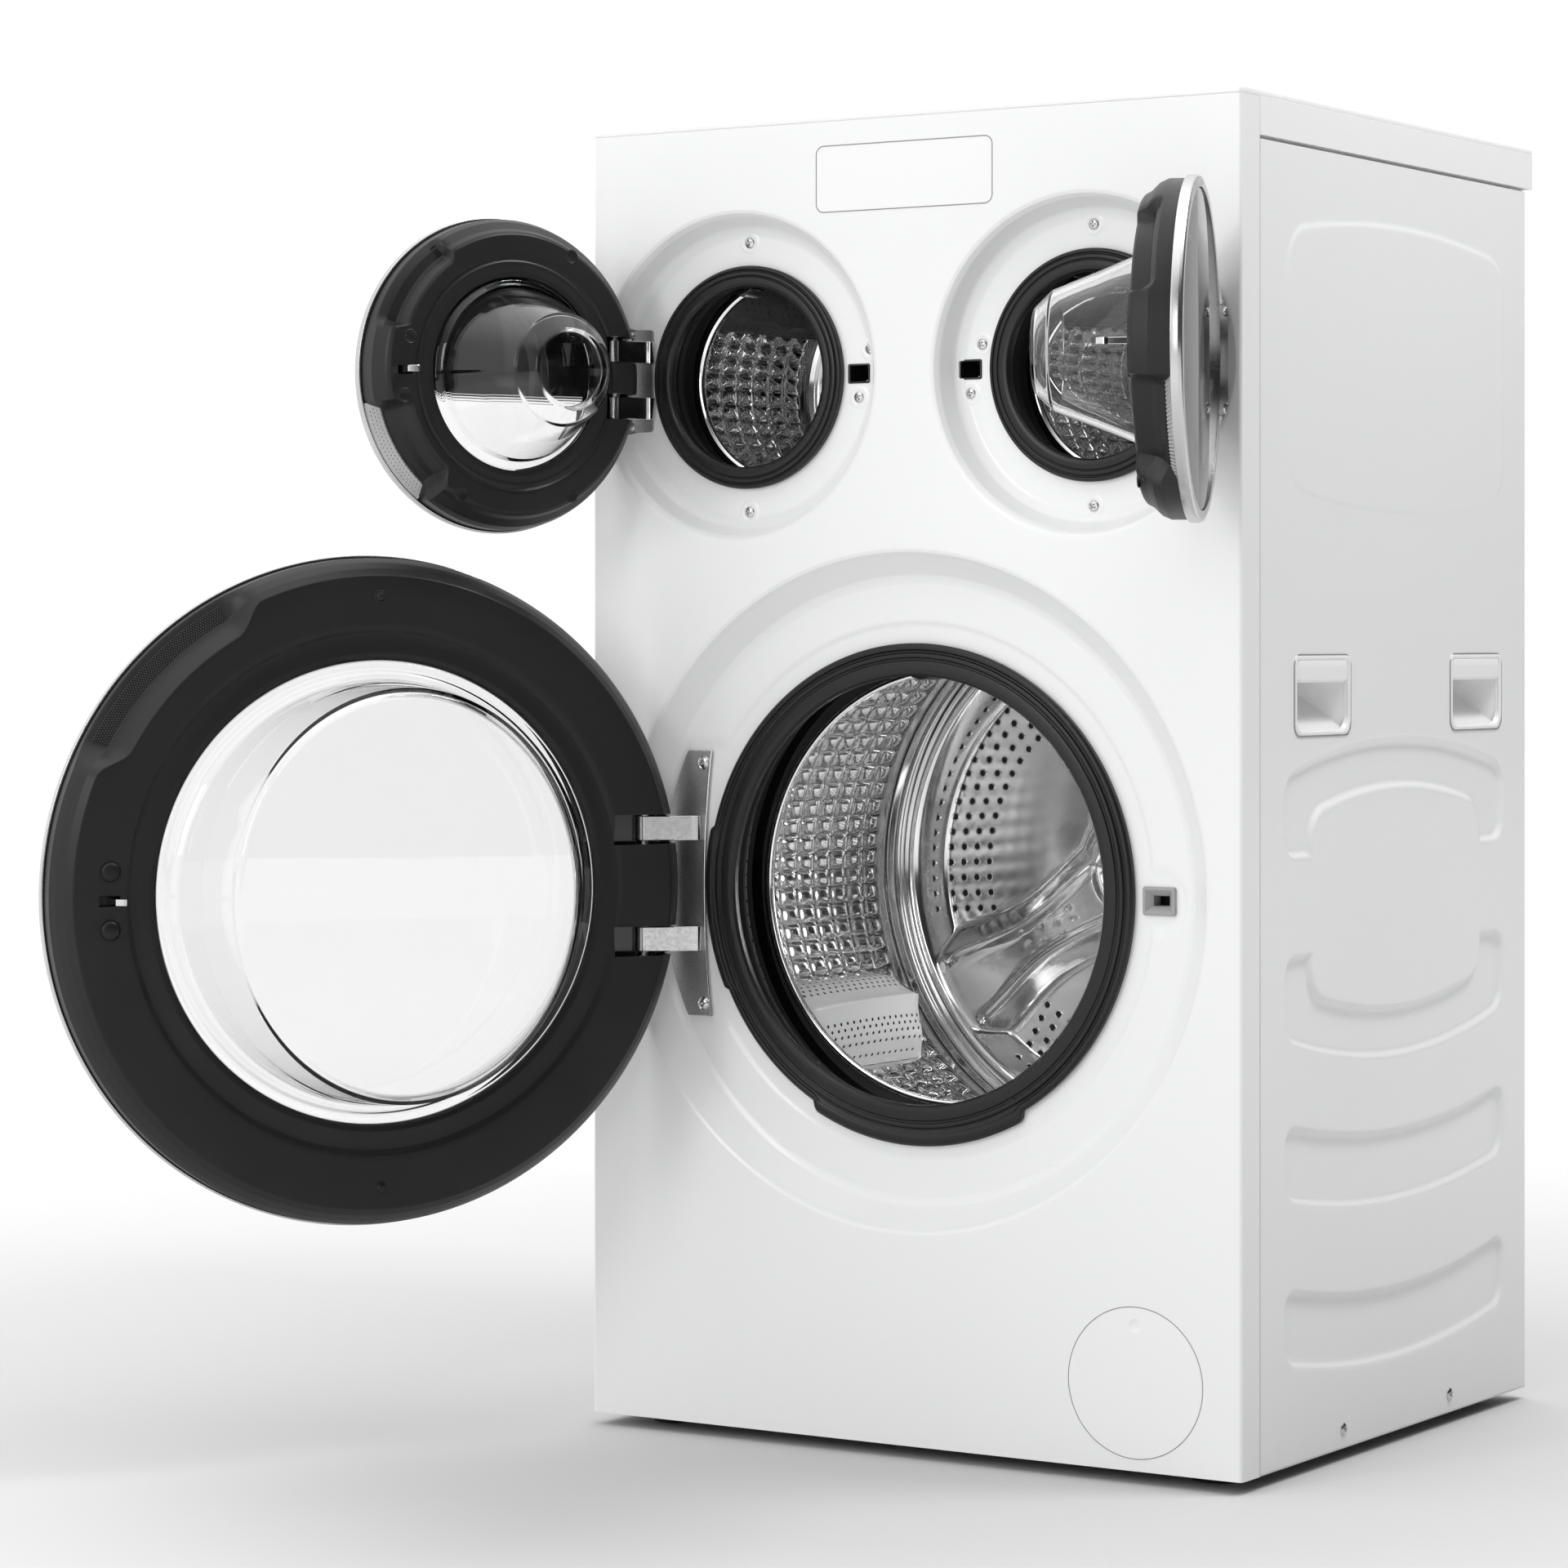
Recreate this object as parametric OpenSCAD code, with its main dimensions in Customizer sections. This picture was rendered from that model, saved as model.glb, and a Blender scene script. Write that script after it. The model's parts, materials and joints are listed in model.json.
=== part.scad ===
// Front-loading laundry cabinet: one large drum low down and two small drums side by side above it.
// Millimetres, +Z up, front face towards -Y. The origin is on the floor, at the centre of the feet.

/* [Cabinet] */
// Width over the side panels
cab_w = 595; // [580:1:620]
// Height of the front panel, from its lower edge to the lid
panel_h = 1046; // [1040:1:1070]
// Depth from the front face to the rear edge of the side panels
cab_d = 530; // [515:1:560]
// Clear height of the feet under the cabinet
foot_h = 10; // [6:1:20]
// Sheet steel thickness of the panels
sheet_t = 1.2; // [0.8:0.1:2]
// How far the front panel wraps round each side
wrap_d = 30; // [25:1:40]
// Thickness of the lid above the front panel
lid_t = 6; // [4:1:10]
// Height of the lid's side skirts
skirt_h = 35; // [30:1:45]
// How far the lid stands out behind the side panels
lid_back = 15; // [10:1:20]
// Distance between the feet from side to side
foot_span_x = 500; // [440:5:520]
// Distance between the feet from front to back
foot_span_y = 430; // [400:5:440]

/* [Large unit] */
// Height of the large drum's axis above the panel's lower edge
large_h = 436; // [430:1:445]
// Radius of the large dish at the front face
large_dish_r = 268; // [266:1:272]
// Outside radius of the large door
large_door_r = 265; // [262:0.5:266]
// Outside radius of the large drum
large_drum_r = 240.5; // [230:0.5:245]
// Distance of the large door's pivot from the drum axis
large_pivot_x = 237.4; // [236:0.1:238]
// Angle at which the large door stands open at rest
large_open = 122.4; // [90:0.1:128]

/* [Small units] */
// Distance of each small drum's axis from the cabinet's centre line
small_x = 158.5; // [155:0.5:162]
// Height of the small drums' axes above the panel's lower edge
small_h = 846.3; // [840:0.1:850]
// Radius of each small dish at the front face
small_dish_r = 132; // [131:0.5:134]
// Outside radius of each small door
small_door_r = 127; // [125:0.5:128]
// Outside radius of each small drum
small_drum_r = 111; // [105:0.5:114]
// Distance of each small door's pivot from its drum axis
small_pivot_x = 109.5; // [108:0.1:111]
// Angle at which the left small door stands open at rest
left_open = 112.6; // [90:0.1:114]
// Angle at which the right small door stands open at rest
right_open = 111; // [90:0.1:114]

/* [Doors] */
// Depth of the dish floors behind the front face
dish_depth = 22.5; // [20:0.5:25]
// How far the door bezels stand in front of the front face
door_out = 25; // [22:0.5:28]
// Depth of the door frames' inner faces behind the front face
door_in = 15.5; // [14:0.5:17]
// Thickness of the outer door glasses
glass_t = 4; // [3:0.5:5]

/* [Panels] */
// Width of the control panel
control_w = 161; // [140:1:180]
// Height of the control panel
control_h = 52; // [45:1:60]
// Height of the control panel's centre above the panel's lower edge
control_z = 1000.3; // [998:0.1:1004]
// Radius of the round filter cover
cover_r = 57.6; // [50:0.1:60]
// Sideways place of the filter cover's centre
cover_x = 206.5; // [200:0.5:215]
// Height of the filter cover's centre above the panel's lower edge
cover_h = 67.3; // [66:0.1:75]

/* [Hidden] */

half_w = cab_w / 2;
front_y = -(foot_span_y / 2 + 57.5);
top_z = foot_h + panel_h;
side_x = half_w - 0.6;
side_t = 1;
skirt_z = top_z + lid_t - skirt_h;
large_z = foot_h + large_h;
small_z = foot_h + small_h;
LARGE = [0, large_z];
LEFT = [-small_x, small_z];
RIGHT = [small_x, small_z];
cover_z = foot_h + cover_h;
dish_rim = 5;
pan_h = 42;
large_wall = 19;
small_wall = 11;
cover_t = 1.5;
peg_r = 3;
tub_r = 266;
small_tub_r = 128;
lifter_angle = 213;
spring_d = 260;
motor_x = -80;
motor_z = 105;
belt_d0 = 447;
belt_d1 = 461;
pulley_r = 150;
motor_pulley_r = 10;
run = 0.3;
pin_run = 0.05;
grip_d = [90, 377];
grip_w = [98, 101];
grip_z0 = foot_h + 560;
grip_h = 62;
large_pin_r = 3;
small_pin_r = 2.5;
large_pivot_d = -13;
small_pivot_d = -11;
white = [0.93, 0.93, 0.93];
steel = [0.72, 0.73, 0.74];
charcoal = [0.12, 0.12, 0.13];
rubber = [0.2, 0.2, 0.21];
black = [0.05, 0.05, 0.05];
grey = [0.62, 0.63, 0.64];
clear = [0.8, 0.88, 0.9, 0.35];

// ---- helpers: x is sideways, d is depth behind the front face, z is height above the floor ----

function arc(cx, cy, r, a0, a1, n) =
    [for (i = [0 : n]) let (a = a0 + (a1 - a0) * i / n) [cx + r * cos(a), cy + r * sin(a)]];

function round_rect(w, h, r, n = 5) = concat(
    arc(w / 2 - r, h / 2 - r, r, 0, 90, n), arc(r - w / 2, h / 2 - r, r, 90, 180, n),
    arc(r - w / 2, r - h / 2, r, 180, 270, n), arc(w / 2 - r, r - h / 2, r, 270, 360, n));

module slab(x0, x1, d0, d1, z0, z1)
    translate([x0, front_y + d0, z0]) cube([x1 - x0, d1 - d0, z1 - z0]);

module rod(at, r, d0, d1, fn = 64)
    translate([at[0], front_y + d0, at[1]]) rotate([-90, 0, 0]) cylinder(r = r, h = d1 - d0, $fn = fn);

module ring(at, r0, r1, d0, d1)
    difference() {
        rod(at, r1, d0, d1, 96);
        rod(at, r0, d0 - 1, d1 + 1, 96);
    }

module turned(at, profile, fn = 96)
    translate([at[0], front_y, at[1]]) rotate([-90, 0, 0]) rotate_extrude($fn = fn) polygon(profile);

module facing(at, d0, d1)
    translate([at[0], front_y + d1, at[1]]) rotate([90, 0, 0]) linear_extrude(d1 - d0) children();

module from_above(z0, z1)
    translate([0, front_y, z0]) linear_extrude(z1 - z0) children();

module both_sides() {
    children();
    mirror([1, 0, 0]) children();
}

module swing(px, pd, a)
    translate([px, front_y + pd, 0]) rotate([0, 0, a]) translate([-px, -front_y - pd, 0]) children();

// ---- cabinet ----

module base_pan()
    color(grey) difference() {
        slab(-half_w + 4, half_w - 4, 2, cab_d - 4, foot_h, foot_h + pan_h);
        slab(-half_w + 7, half_w - 7, 5, cab_d - 7, foot_h + 3, foot_h + 50);
        slab(cover_x - 68, cover_x + 68, 0, 36, foot_h + 3, foot_h + 50);
        foot_places() cylinder(r = 5.3, h = 40, center = true, $fn = 32);
    }

module foot_places()
    for (sx = [-1, 1], sy = [-1, 1])
        translate([sx * foot_span_x / 2, sy * foot_span_y / 2, foot_h]) children();

module levelling_feet()
    foot_places() {
        color(black) translate([0, 0, -foot_h]) cylinder(r = 22, h = foot_h, $fn = 48);
        color(steel) cylinder(r = 5, h = 30, $fn = 32);
        color(steel) translate([0, 0, 3]) difference() {
            cylinder(r = 9.5, h = 6, $fn = 6);
            translate([0, 0, -1]) cylinder(r = 5.05, h = 8, $fn = 32);
        }
    }

module side_panel()
    color(white) {
        difference() {
            union() {
                slab(side_x - side_t, side_x, wrap_d + 0.8, cab_d, foot_h, skirt_z - 0.6);
                slab(side_x - 14, side_x, wrap_d + 0.8, wrap_d + 1.8, foot_h + pan_h + 0.5, skirt_z - 0.6);
                slab(side_x - 20, side_x, cab_d - 1, cab_d, foot_h, skirt_z - 0.6);
                slab(side_x - 6, side_x, wrap_d + 0.8, cab_d, skirt_z - 1.6, skirt_z - 0.6);
                slab(side_x - 6, side_x - 5, wrap_d + 0.8, cab_d, skirt_z - 1.6, top_z - 4);
                slab(side_x - 40, side_x, spring_d - 10, spring_d + 10, foot_h + 735, foot_h + 738);
            }
            for (i = [0, 1])
                slab(side_x - 5, side_x + 5, grip_d[i] + 2, grip_d[i] + grip_w[i] - 2,
                     grip_z0 + 2, grip_z0 + grip_h - 2);
        }
    }

module left_side_panel() mirror([1, 0, 0]) side_panel();

module right_side_panel() side_panel();

module grip_cup(i) {
    d0 = grip_d[i];
    d1 = d0 + grip_w[i];
    lip_h = 21;
    difference() {
        union() {
            slab(side_x, side_x + 0.6, d0, d1, grip_z0, grip_z0 + grip_h);
            slab(side_x - 40, side_x, d0 + 2, d1 - 2, grip_z0 + 2, grip_z0 + grip_h - 2);
        }
        slab(side_x - 37.5, side_x + 2, d0 + 4.5, d1 - 4.5, grip_z0 + 5, grip_z0 + grip_h - lip_h);
        slab(side_x - 37.5, side_x - 8, d0 + 4.5, d1 - 4.5, grip_z0 + 5, grip_z0 + grip_h - 4.5);
    }
}

module side_grips() color(white) both_sides() for (i = [0, 1]) grip_cup(i);

module panel_section()
    difference() {
        polygon(concat([[half_w, wrap_d], [-half_w, wrap_d]],
            arc(3 - half_w, 3, 3, 180, 270, 6), arc(half_w - 3, 3, 3, 270, 360, 6)));
        polygon(concat([[half_w - sheet_t, wrap_d + 1], [sheet_t - half_w, wrap_d + 1]],
            arc(3 - half_w, 3, 3 - sheet_t, 180, 270, 6), arc(half_w - 3, 3, 3 - sheet_t, 270, 360, 6)));
    }

// Section of a dish: a rolled edge at the front face, a sloping wall and a flat floor with a hole.
function dish_profile(r, wall, hole) = let (s = sheet_t, k = wall / dish_depth) concat(
    [[r + dish_rim, 0], [r, 0.4], [r - 2, 1.5], [r - 3.5, 3.5], [r - wall - 1, dish_depth - 3],
     [r - wall - 3, dish_depth - 0.8], [r - wall - 6, dish_depth], [hole, dish_depth],
     [hole, dish_depth + s], [r - wall - 5.5, dish_depth + s], [r - wall - 2, dish_depth + 0.2],
     [r - wall + 0.4, dish_depth - 2.6], [r - 2.2, 4], [r - 1, 2.4], [r + 1, 1.5], [r + dish_rim, s]]);

// Room inside a dish, in front of its wall and floor.
function dish_room(r, wall) = concat([[0, -1], [r, -1]],
    [for (i = [1 : 6]) dish_profile(r, wall, 0)[i]], [[0, dish_depth]]);

module hinge_pocket(at)
    difference() {
        slab(at[0] - 127.5, at[0] - 108, 0.2, dish_depth + sheet_t, at[1] - 44, at[1] + 44);
        slab(at[0] - 126.3, at[0] - 90, -1, dish_depth, at[1] - 42.8, at[1] + 42.8);
        turned(at, dish_room(small_dish_r, small_wall));
    }

module pocket_for(at) {
    if (at[0] < 0) hinge_pocket(at);
    else mirror([1, 0, 0]) hinge_pocket([-at[0], at[1]]);
}

module pocket_room(at) {
    s = sign(at[0]);
    xs = at[0] + s * 126.3;
    xe = at[0] + s * 100;
    slab(min(xs, xe), max(xs, xe), -1, dish_depth, at[1] - 42.8, at[1] + 42.8);
}

module front_panel()
    color(white) difference() {
        union() {
            from_above(foot_h, top_z) panel_section();
            slab(3 - half_w, half_w - 3, 0.6, 22, top_z - sheet_t, top_z);
        }
        rod(LARGE, large_dish_r + dish_rim, -1, dish_depth, 128);
        for (at = [LEFT, RIGHT]) rod(at, small_dish_r + dish_rim, -1, dish_depth, 96);
        rod([cover_x, cover_z], cover_r + 0.8, -1, 5);
        facing([0, foot_h + control_z], -1, 5)
            polygon(round_rect(control_w + 1.2, control_h + 1.2, 7));
    }

// The three pressed dishes behind the panel's round holes.
module panel_dishes()
    color(white) {
        difference() {
            turned(LARGE, dish_profile(large_dish_r, large_wall, 186), 128);
            facing([216.4, large_z - 2], dish_depth - 1, dish_depth + 3)
                polygon(round_rect(24, 18, 2));
        }
        for (i = [0, 1]) let (at = [LEFT, RIGHT][i]) difference() {
            union() {
                turned(at, dish_profile(small_dish_r, small_wall, 84));
                pocket_for(at);
            }
            pocket_room(at);
            facing([small_lock_x[i], small_z], dish_depth - 1, dish_depth + 3)
                square([18.6, 14], center = true);
        }
    }

small_lock_x = [-54.5, 48.5];

module rear_panel()
    color(grey) difference() {
        slab(side_x - 20 - 2 * (side_x - 20), side_x - 20, cab_d - 2, cab_d - 0.8, foot_h + 8, top_z - 10);
        for (x = valve_x) rod([x, valve_z], 15, cab_d - 5, cab_d + 5, 32);
        rod([spigot_x, spigot_z], 13, cab_d - 5, cab_d + 5, 32);
        slab(inlet_x - 22, inlet_x + 22, cab_d - 5, cab_d + 5, inlet_z - 14, inlet_z + 14);
        for (sx = [-1, 1], z = [large_z - 130, large_z + 170])
            rod([sx * 170, z], 10, cab_d - 5, cab_d + 5, 32);
    }

module top_cover()
    color(white) {
        slab(-half_w, half_w, 0, cab_d + lid_back, top_z, top_z + lid_t);
        both_sides() slab(half_w - 2.5, half_w, wrap_d + 0.8, cab_d + lid_back, skirt_z, top_z);
        slab(-half_w, half_w, cab_d + lid_back - 2.5, cab_d + lid_back, skirt_z, top_z);
    }

module control_panel()
    color(white) {
        facing([0, foot_h + control_z], 0, 3) polygon(round_rect(control_w, control_h, 6.5));
        facing([0, foot_h + control_z], 3, 9) polygon(round_rect(control_w - 12, control_h - 10, 3));
    }

// ---- water, drain and power ----

valve_x = [-235, -185];
valve_z = foot_h + 985;
spigot_x = 225;
spigot_z = foot_h + 880;
inlet_x = 225;
inlet_z = foot_h + 980;

module inlet_valves()
    color(white) for (x = valve_x) {
        rod([x, valve_z], 13.2, cab_d - 30, cab_d + 11, 48);
        slab(x - 18, x + 18, cab_d - 75, cab_d - 30, valve_z - 18, valve_z + 18);
        rod([x, valve_z - 30], 6, cab_d - 70, cab_d - 36, 32);
        slab(x - 8, x + 8, cab_d - 62, cab_d - 44, valve_z - 32, valve_z - 18);
    }

module drain_spigot()
    color(grey) {
        rod([spigot_x, spigot_z], 11, cab_d - 30, cab_d + 12, 48);
        ring([spigot_x, spigot_z], 11, 22, cab_d - 4.5, cab_d - 2);
    }

module mains_inlet()
    color(black) difference() {
        slab(inlet_x - 21.5, inlet_x + 21.5, cab_d - 32, cab_d + 1, inlet_z - 13.5, inlet_z + 13.5);
        slab(inlet_x - 12.5, inlet_x + 12.5, cab_d - 16, cab_d + 3, inlet_z - 8.5, inlet_z + 8.5);
    }

module drain_pump()
    color(grey) {
        ring([cover_x, cover_z], 26, 30, 31, 104);
        rod([cover_x, cover_z], 30, 104, 108, 48);
        rod([cover_x, cover_z], 33, 108, 160, 48);
        slab(cover_x - 10, cover_x + 10, 60, 80, cover_z + 27, cover_z + 60);
        slab(cover_x - 34, cover_x + 34, 108, 150, foot_h + 3, cover_z - 20);
    }

module filter_housing()
    color(grey) difference() {
        union() {
            ring([cover_x, cover_z], 61.5, 63.8, 1.4, 31);
            ring([cover_x, cover_z], 28.6, 62, 28, 31);
        }
        cover_pegs(peg_r + pin_run, 20, 40);
    }

module cover_pegs(r, d0, d1)
    for (s = [-1, 1]) rod([cover_x + s * 45, cover_z], r, d0, d1, 40);

module filter_cover()
    color(white) {
        difference() {
            rod([cover_x, cover_z], cover_r, 0, cover_t, 96);
            translate([cover_x, front_y - 14, cover_z + 43.7]) sphere(r = 15, $fn = 64);
        }
        cover_pegs(peg_r, 1, 34);
    }

module filter_plug()
    color([0.25, 0.35, 0.5]) {
        rod([cover_x, cover_z], 28, 17, 30, 64);
        slab(cover_x - 4, cover_x + 4, 9, 17, cover_z - 22, cover_z + 22);
        rod([cover_x, cover_z], 25, 30, 40, 48);
        ring([cover_x, cover_z], 19, 22, 40, 92);
    }

// Screw places: across the front, at depth d, each [x, z].
dish_screws = concat(
    [for (sx = [-1, 1], sz = [-1, 1]) [sx * small_x, small_z + sz * 109]],
    [for (sx = [-1, 1]) [sx * 125, large_z - 216]],
    [for (x = small_lock_x) [x, small_z - 18.8]],
    [for (x = small_lock_x) [x + 10.5, small_z + 19.5]]);
side_screws = [for (d = [176, 375]) [d, foot_h + 15]];

module front_screw(at, d)
    translate([at[0], front_y + d, at[1]]) rotate([90, 0, 0]) {
        cylinder(r = 4.2, h = 2, $fn = 32);
        translate([0, 0, -9]) cylinder(r = 1.8, h = 9, $fn = 24);
    }

module panel_screws()
    color(steel) {
        for (at = dish_screws) front_screw(at, dish_depth);
        for (s = [-1, 1]) front_screw([-large_pivot_x + 36, large_z + s * 98], dish_depth - 3);
        for (u = [-1, 1], s = [-1, 1])
            front_screw([u * (small_x + 116.5), small_z + s * 36.8], dish_depth - 1.5);
        both_sides() for (p = side_screws) translate([side_x, front_y + p[0], p[1]]) rotate([0, 90, 0]) {
            cylinder(r = 5, h = 0.6, $fn = 32);
            translate([0, 0, -8]) cylinder(r = 2, h = 8, $fn = 24);
        }
    }

// ---- seals and tubs ----

// Section of a door seal: flange over the dish floor, folded lip, and a collar over the tub's neck.
function seal_profile(lip, flange, hole, neck0, neck1, wall, deep) = [
    [flange, dish_depth], [flange, 17.5], [flange - 2, 16.2], [lip + 3, 16.2], [lip, 18.5],
    [lip, 23], [lip + 2, 25.5], [hole - 5, 26], [hole - 5, deep - 4], [neck0, deep],
    [neck1, deep], [neck1, deep + 16], [neck1 + wall, deep + 16], [neck1 + wall, deep - 4],
    [hole - 0.5, deep - 8], [hole - 0.5, dish_depth]];

module large_seal()
    color(rubber) turned(LARGE, seal_profile(169.5, 195, 186, 190, 196, 5, 42));

module small_seals()
    color(rubber) for (at = [LEFT, RIGHT])
        turned(at, seal_profile(72.5, 90, 84, 84.5, 88, 3.5, 42));

module large_tub_front()
    color(grey) {
        turned(LARGE, [[190, 42], [196, 42], [196, 62], [tub_r, 62], [tub_r + 8, 225],
            [tub_r + 8, 232], [tub_r, 232], [tub_r - 4, 232], [tub_r - 4, 66], [190, 66]]);
    }

module large_tub_rear()
    color(grey) difference() {
        union() {
            turned(LARGE, [[tub_r - 4, 232], [tub_r + 8, 232], [tub_r + 8, 239], [tub_r, 241],
                [tub_r, 430], [42, 430], [42, 443], [31, 443], [31, 412], [42, 412], [42, 425],
                [tub_r - 4, 425]]);
            both_sides() slab(214, 280, spring_d - 8, spring_d + 8, large_z + 152, large_z + 166);
            both_sides() slab(140, 170, 292, 312, large_z - 236, large_z - 200);
        }
        rod(LARGE, tub_r - 4, 240, 400, 96);
    }

module small_tubs()
    color(grey) for (at = [LEFT, RIGHT]) turned(at, [[84.5, 42], [88, 42], [88, 60],
        [small_tub_r, 60], [small_tub_r, 332], [28, 332], [28, 348], [18, 348], [18, 318],
        [28, 318], [28, 329], [small_tub_r - 3, 329], [small_tub_r - 3, 63], [84.5, 63]]);

module small_motors()
    color(black) for (at = [LEFT, RIGHT]) difference() {
        union() {
            rod(at, 18, 320, 350, 48);
            turned(at, [[28.5, 334], [78, 334], [82, 338], [82, 362], [28.5, 362]]);
        }
        rod(at, 10 + pin_run, 300, 400, 48);
    }

module door_lock(at, w, h, wall)
    difference() {
        slab(at[0] - w / 2 - wall, at[0] + w / 2 + wall, dish_depth + 1.4, dish_depth + 32,
             at[1] - 20, at[1] + 20);
        slab(at[0] - w / 2, at[0] + w / 2, dish_depth, dish_depth + 28, at[1] - h / 2, at[1] + h / 2);
    }

module door_locks() {
    color(grey) {
        difference() {
            facing([216.4, large_z - 2], dish_depth - 3, dish_depth)
                polygon(round_rect(28, 22, 2));
            slab(209.4, 223.4, dish_depth - 5, dish_depth + 5, large_z - 5.5, large_z + 1.5);
        }
        difference() {
            facing([216.4, large_z - 2], dish_depth, dish_depth + 1.4)
                polygon(round_rect(23.6, 17.6, 2));
            slab(209.4, 223.4, dish_depth - 5, dish_depth + 5, large_z - 5.5, large_z + 1.5);
        }
    }
    color(black) door_lock([216.4, large_z - 2], 14, 7, 7);
    color(black) for (x = small_lock_x) door_lock([x, small_z], 18.6, 14, 1.2);
}

// ---- hinges ----

// Arm in plan: an eye round the pivot, a straight bar and a foot on the bracket plate.
module hinge_arm(eye, half, foot, pin)
    difference() {
        union() {
            circle(r = eye, $fn = 40);
            rotate(atan2(foot[1], foot[0])) translate([0, -half]) square([norm(foot), 2 * half]);
            translate([foot[0] - half - 1, foot[1] - half]) square([2 * half + 4, half + 7]);
        }
        circle(r = pin, $fn = 40);
    }

module large_bracket() {
    intersection() {
        slab(-243.6, -193.6, dish_depth - 3, dish_depth, large_z - 108, large_z + 108);
        ring(LARGE, 199, large_dish_r - large_wall - 6.5, 0, 40);
    }
    intersection() {
        for (s = [-1, 1]) translate([-large_pivot_x, front_y + large_pivot_d, large_z + s * 45 - 10])
            linear_extrude(20) hinge_arm(5.7, 3.6, [29, 28], large_pin_r);
        slab(-300, -150, -30, dish_depth - 3, 0, 2000);
    }
}

module small_bracket(at) {
    difference() {
        slab(at[0] - 125.5, at[0] - 93, dish_depth - 1.5, dish_depth, at[1] - 42, at[1] + 42);
        rod(at, 92.5, 0, 40, 96);
    }
    intersection() {
        for (s = [-1, 1]) translate([at[0] - small_pivot_x, front_y + small_pivot_d, at[1] + s * 23 - 9])
            linear_extrude(18) hinge_arm(5, 3, [12, 28], small_pin_r);
        slab(-400, 0, -30, dish_depth - 1.5, 0, 2000);
    }
}

module hinge_brackets() {
    color(steel) large_bracket();
    color(steel) both_sides() small_bracket(LEFT);
}

module hinge_pins()
    color(steel) {
        translate([-large_pivot_x, front_y + large_pivot_d, large_z])
            cylinder(r = large_pin_r, h = 134, center = true, $fn = 40);
        both_sides() translate([-small_x - small_pivot_x, front_y + small_pivot_d, small_z])
            cylinder(r = small_pin_r, h = 82, center = true, $fn = 40);
    }

// ---- large drum drive ----

// Coil wound upwards: a five-sided wire swept along a helix.
module coil(r, wire, pitch, turns) {
    steps = 10;
    n = turns * steps;
    sides = 5;
    points = [for (i = [0 : n], k = [0 : sides - 1])
        let (a = 360 * i / steps, b = 360 * k / sides, q = r + wire * cos(b))
        [q * cos(a), q * sin(a), pitch * i / steps + wire * sin(b)]];
    walls = [for (i = [0 : n - 1], k = [0 : sides - 1]) let (m = (k + 1) % sides)
        [i * sides + k, i * sides + m, (i + 1) * sides + m, (i + 1) * sides + k]];
    ends = [[for (k = [0 : sides - 1]) sides - 1 - k], [for (k = [0 : sides - 1]) n * sides + k]];
    polyhedron(points, concat(walls, ends));
}

module tub_suspension() {
    color(steel) both_sides() {
        translate([269, front_y + spring_d, large_z + 170]) coil(9, 1.6, 9.8, 11);
        translate([269, front_y + spring_d, large_z + 166]) cylinder(r = 4, h = 8, $fn = 24);
        translate([269, front_y + spring_d, foot_h + 720]) cylinder(r = 4, h = 15, $fn = 24);
    }
    color(black) both_sides() translate([200, front_y + 302, foot_h + 6]) rotate([0, -12, 0]) {
        cylinder(r = 13, h = 125, $fn = 40);
        translate([0, 0, 125]) cylinder(r = 6, h = 72, $fn = 32);
    }
}

module counterweights()
    color([0.55, 0.55, 0.53]) for (a = [32, 212])
        translate([0, front_y, large_z]) rotate([-90, 0, 0]) rotate([0, 0, a])
            rotate_extrude(angle = 116, $fn = 96) translate([206, 33]) square([52, 27]);

module drive_motor()
    color(grey) difference() {
        union() {
            rod([motor_x, motor_z], 52, 300, 420, 64);
            rod([motor_x, motor_z], 22, 420, 432, 48);
            slab(motor_x - 30, motor_x + 30, 310, 400, motor_z + 40, large_z - tub_r + 2);
        }
        rod([motor_x, motor_z], 7 + pin_run, 400, 440, 40);
        rod(LARGE, tub_r + 0.5, 200, 500, 96);
    }

module motor_pulley()
    color(steel) {
        rod([motor_x, motor_z], 7, 402, 466, 40);
        rod([motor_x, motor_z], motor_pulley_r, belt_d0, belt_d1, 40);
    }

module belt_outline(extra)
    hull() {
        translate([0, large_z]) circle(r = pulley_r + extra, $fn = 120);
        translate([motor_x, motor_z]) circle(r = motor_pulley_r + extra, $fn = 48);
    }

module drive_belt()
    color(black) facing([0, 0], belt_d0 + 1, belt_d1 - 1) difference() {
        belt_outline(run + 3);
        belt_outline(run + 0.2);
    }

module drum_bearings()
    color(steel) for (d = [[412.5, 424.5], [430.5, 442.5]])
        ring(LARGE, 15 + pin_run, 31, d[0], d[1]);

module tub_heater()
    color(steel) {
        for (s = [-1, 1]) rod([s * 20, large_z - 250], 4, 90, 425, 32);
        slab(-20, 20, 86, 94, large_z - 254, large_z - 246);
        slab(-32, 32, 430, 438, large_z - 262, large_z - 238);
    }

// ---- large drum ----

module large_drum_shell()
    color(steel) turned(LARGE, concat(arc(174, 76, 4, 90, 270, 6), [[180, 73], [228, 80]],
        arc(228.5, 92, 12, 270, 360, 6), [[large_drum_r, 402], [large_drum_r - 1.5, 402],
        [large_drum_r - 1.5, 93]], arc(228.5, 92, 10.5, 360, 270, 6), [[179, 75]]), 128);

module star_arm()
    linear_extrude(15) polygon([[20, -30], [20, 30], [120, 20], [205, 34], [205, -34], [120, -20]]);

module large_drum_back()
    color(steel) {
        rod(LARGE, large_drum_r - 1.7, 398, 400, 128);
        rod(LARGE, 46, 383, 399, 64);
        for (k = [0 : 2]) translate([0, front_y + 399, large_z]) rotate([0, -lifter_angle - k * 120, 0])
            rotate([90, 0, 0]) star_arm();
    }

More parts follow.
